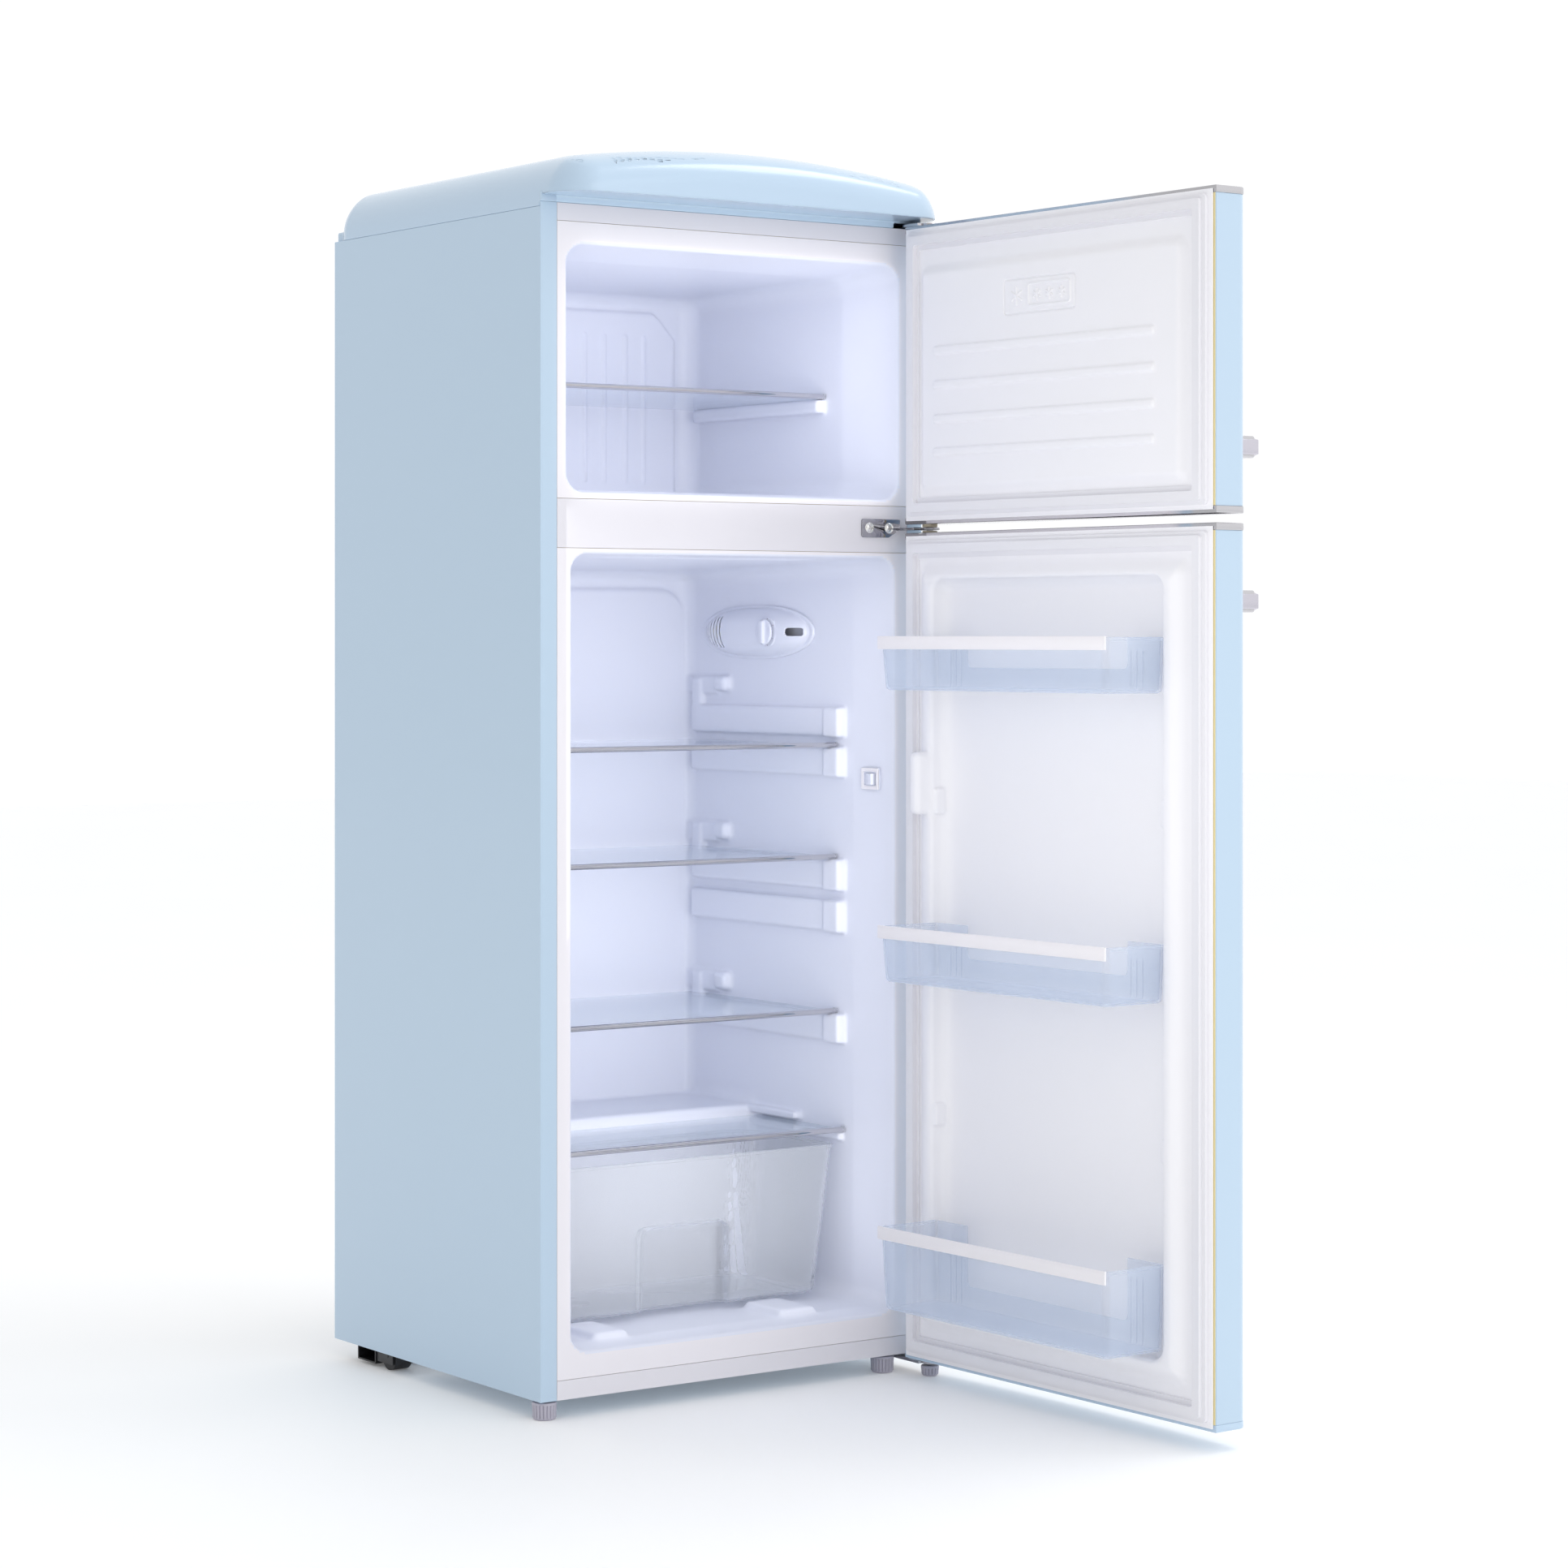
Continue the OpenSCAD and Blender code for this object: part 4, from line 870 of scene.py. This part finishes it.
# ------------------------------------------------------------------ hinge in the middle, screws
M["screw_bright"] = metal("screw_bright", (0.80, 0.79, 0.77), 0.2, 0.04, 60, None, 0.05)
M["hinge_chrome"] = metal("hinge_chrome", (0.36, 0.355, 0.39), 0.1, 0.05, 20, None, 0.03)
M["bushing_beige"] = plastic("bushing_beige", lin(226, 214, 188), 0.45, 0.05, 500)


def plate(outline, y0, y1, e=0.5):
    """Flat sheet in the X-Z plane with a broken front edge, from an outline of (x, z, inward x, inward z)."""
    rs = [[(x, y0, z) for x, z, a, b in outline], [(x, y1 + e, z) for x, z, a, b in outline],
          [(x + a * e * 0.4, y1 + e * 0.35, z + b * e * 0.4) for x, z, a, b in outline],
          [(x + a * e, y1, z + b * e) for x, z, a, b in outline]]
    return rings(rs)


def corner_outline(corners, seg=6):
    """Closed outline from corner arcs (centre x, centre z, radius, start angle, sweep)."""
    pts = []
    for cx, cz, r, a0, sw in corners:
        for i in range(seg + 1):
            a = math.radians(a0 + sw * i / seg)
            pts.append((cx + r * math.cos(a), cz + r * math.sin(a), -math.cos(a), -math.sin(a)))
    return pts


oc = corner_outline([(239, 1043, 1.0, 0, 90), (185, 1041, 3.0, 90, 90), (185, 1024.3, 3.0, 180, 90), (222, 1024.3, 3.0, 270, 45), (239, 1031.5, 1.0, 315, 45)])
arm = rbox(234, 271, -37, -0.4, 1030.2, 1033.2, 0.7, 3)
disc = lathe([(0.2, 1030.2), (11.4, 1030.2), (12, 1030.8), (12, 1032.6), (11.4, 1033.2), (0.2, 1033.2)], 259, -37, 40)
pin = lathe([(0.2, 1012), (3.4, 1012), (4.0, 1012.8), (4.0, 1050.2), (3.4, 1051), (0.2, 1051)], 259, -37, 32)
c, f = join(plate(oc, -0.05, -2.2), arm, disc, pin)
piece("middle_hinge_plate", c, f, "cabinet", "hinge_chrome", replaces=("middle_hinge",), angle=35)
for nm, body, z0, z1 in (("fridge_door_bushing", "fridge_door", 1025.4, 1029.4), ("freezer_door_bushing", "freezer_door", 1033.8, 1038.2)):
    c, f = lathe([(4.15, z0), (8.6, z0), (9.2, z0 + 0.6), (9.2, z1 - 0.6), (8.6, z1), (4.15, z1), (4.15, z0)], 259, -37, 40)
    piece(nm, c, f[:-2], body, "bushing_beige", door=True, angle=40)


def screw_solid(u, v, w):
    r = np.hypot(u, v)
    head = np.maximum(np.hypot(r, w + 7.2) - 10.0, -w)
    head = rmax(head, r - 5.9, 0.7)
    head = np.maximum(head, -w)
    cross = np.maximum(np.minimum(np.maximum(np.abs(u) - 0.62, np.abs(v) - 3.3 + 0.5 * (2.8 - w)), np.maximum(np.abs(v) - 0.62, np.abs(u) - 3.3 + 0.5 * (2.8 - w))), 1.1 - w)
    washer = np.maximum(np.maximum(r - 6.6, w - 0.7), -w)
    return np.minimum(np.maximum(head, -cross), washer)


su = grid((-7.2, 7.2, 0.36))
sc, sq, _, _ = nets(screw_solid, su, su, grid((-0.4, 3.4, 0.3)))
ca, sa = math.cos(math.radians(32)), math.sin(math.radians(32))
u, v, w = sc[:, 0] * ca - sc[:, 1] * sa, sc[:, 0] * sa + sc[:, 1] * ca, np.maximum(sc[:, 2], 0)
heads = [np.stack([x + u, -2.25 - w, 1033 + v], 1) for x in (193, 222.5)]
heads += [np.stack([x + u, y + v, 1397.35 + w], 1) for x, y in SCREWS]
heads += [np.stack([x + u, y - v, 16.15 - w], 1) for x, y in SCREWS]
for k, co in enumerate(heads):
    piece(f"hinge_screw_{k}", co, sq, "cabinet", "screw_bright", replaces=("hinge_screws",) if k == 0 else (), angle=35)

# ------------------------------------------------------------------ feet
for nm, cx, cy, r, h, body, node, fl in (("front_foot_left", -260, 14.6, 14.5, 20.5, "foot_left", "front_foot_left", 20),
                                         ("front_foot_right", 225, 15, 14.5, 20.5, "foot_right", "front_foot_right", 20),
                                         ("hinge_foot", 259, -37, 11, 13, "foot_hinge", "hinge_foot", 16)):
    prof = [(0.3, 0), (r - 3.6, 0), (r - 2.6, 0.5), (r - 1.5, 1.5), (r - 1.0, 2.4), (r - 0.6, 2.7), (r - 0.5, h * 0.45), (r, h - 3.2), (r, h - 2.9), (r, h - 1.2), (r - 0.5, h - 0.3), (r - 1.3, h), (6, h), (0.3, h)]
    c, f = lathe(prof, cx, cy, 240, fl, 1.5, (2.6, h - 3.0))
    piece(nm + "_fluted", c, f, body, "grey_plastic", replaces=(node,), angle=40)
    sr, top = (3.95, 33.5) if r > 12 else (2.45, 21.4)
    prof = [(0.3, h - 0.5), (sr, h - 0.5)]
    k = h
    while k < top - 1:
        prof += [(sr, k), (sr - 0.35, k + 0.4), (sr, k + 0.8)]
        k += 1.0
    prof += [(sr - 0.6, top), (0.3, top)]
    c, f = lathe(prof, cx, cy, 32)
    piece(nm + "_stem", c, f, body, "zinc_steel", angle=40)

# ------------------------------------------------------------------ light and floor
world = bpy.data.worlds.new("studio")
scene.world = world
world.use_nodes = True
bg = world.node_tree.nodes["Background"]
bg.inputs[0].default_value = (0.985, 0.99, 1.0, 1)
wt = world.node_tree
wc = wt.nodes.new("ShaderNodeTexCoord")
wx = wt.nodes.new("ShaderNodeSeparateXYZ")
wm = wt.nodes.new("ShaderNodeMapRange")
wm.inputs["From Min"].default_value = -0.9
wm.inputs["From Max"].default_value = 0.1
wm.inputs["To Min"].default_value = 0.63
wm.inputs["To Max"].default_value = 1.06
wt.links.new(wc.outputs["Generated"], wx.inputs[0])
wt.links.new(wx.outputs["X"], wm.inputs["Value"])
wt.links.new(wm.outputs["Result"], bg.inputs[1])


def area(name, loc, target, size, power, col=(1, 1, 1)):
    li = bpy.data.lights.new(name, "AREA")
    li.shape = "RECTANGLE"
    li.size, li.size_y = size
    li.energy = power
    li.color = col
    ob = bpy.data.objects.new(name, li)
    scene.collection.objects.link(ob)
    ob.location = loc
    d = Vector(target) - Vector(loc)
    ob.rotation_euler = d.to_track_quat("-Z", "Y").to_euler()
    return ob


area("key", (0.6, -4.2, 2.4), (0.0, 0.0, 0.8), (3.0, 2.4), 16)
area("top", (1.9, -0.9, 3.9), (0.0, 0.0, 1.4), (1.8, 1.0), 26)
for nm, loc, sz, pw in (("fridge_fill", (-0.031, 0.0, 0.54), (0.42, 0.86), 1.06), ("freezer_fill", (-0.031, 0.0, 1.21), (0.44, 0.26), 0.46)):
    fill = area(nm, loc, (loc[0], 1.0, loc[2]), sz, pw, (1.0, 0.99, 0.99))
    fill.data.spread = math.radians(112)
    fill.visible_camera = False
    fill.visible_glossy = False
    fill.visible_transmission = False

door_fill = area("door_fill", (-0.27, -0.62, 0.80), (1.0, -0.62, 0.80), (1.35, 0.5), 0.8)
door_fill.visible_camera = False
door_fill.visible_glossy = False
door_fill.visible_transmission = False

bpy.ops.mesh.primitive_plane_add(size=30, location=(0, 0, 0))
floor = bpy.context.active_object
floor.name = "floor"
fm = Mat("floor_pale")
fm.colour(fm.noise(1.5, 2), (0.93, 0.935, 0.94, 1), (0.94, 0.945, 0.95, 1))
fm.set(Emission_Color=(1, 1, 1, 1), Emission_Strength=0.10)
fm.rough(fm.noise(5, 2), 0.55, 0.65)
floor.data.materials.append(fm.m)
scene.view_settings.view_transform = "Standard"
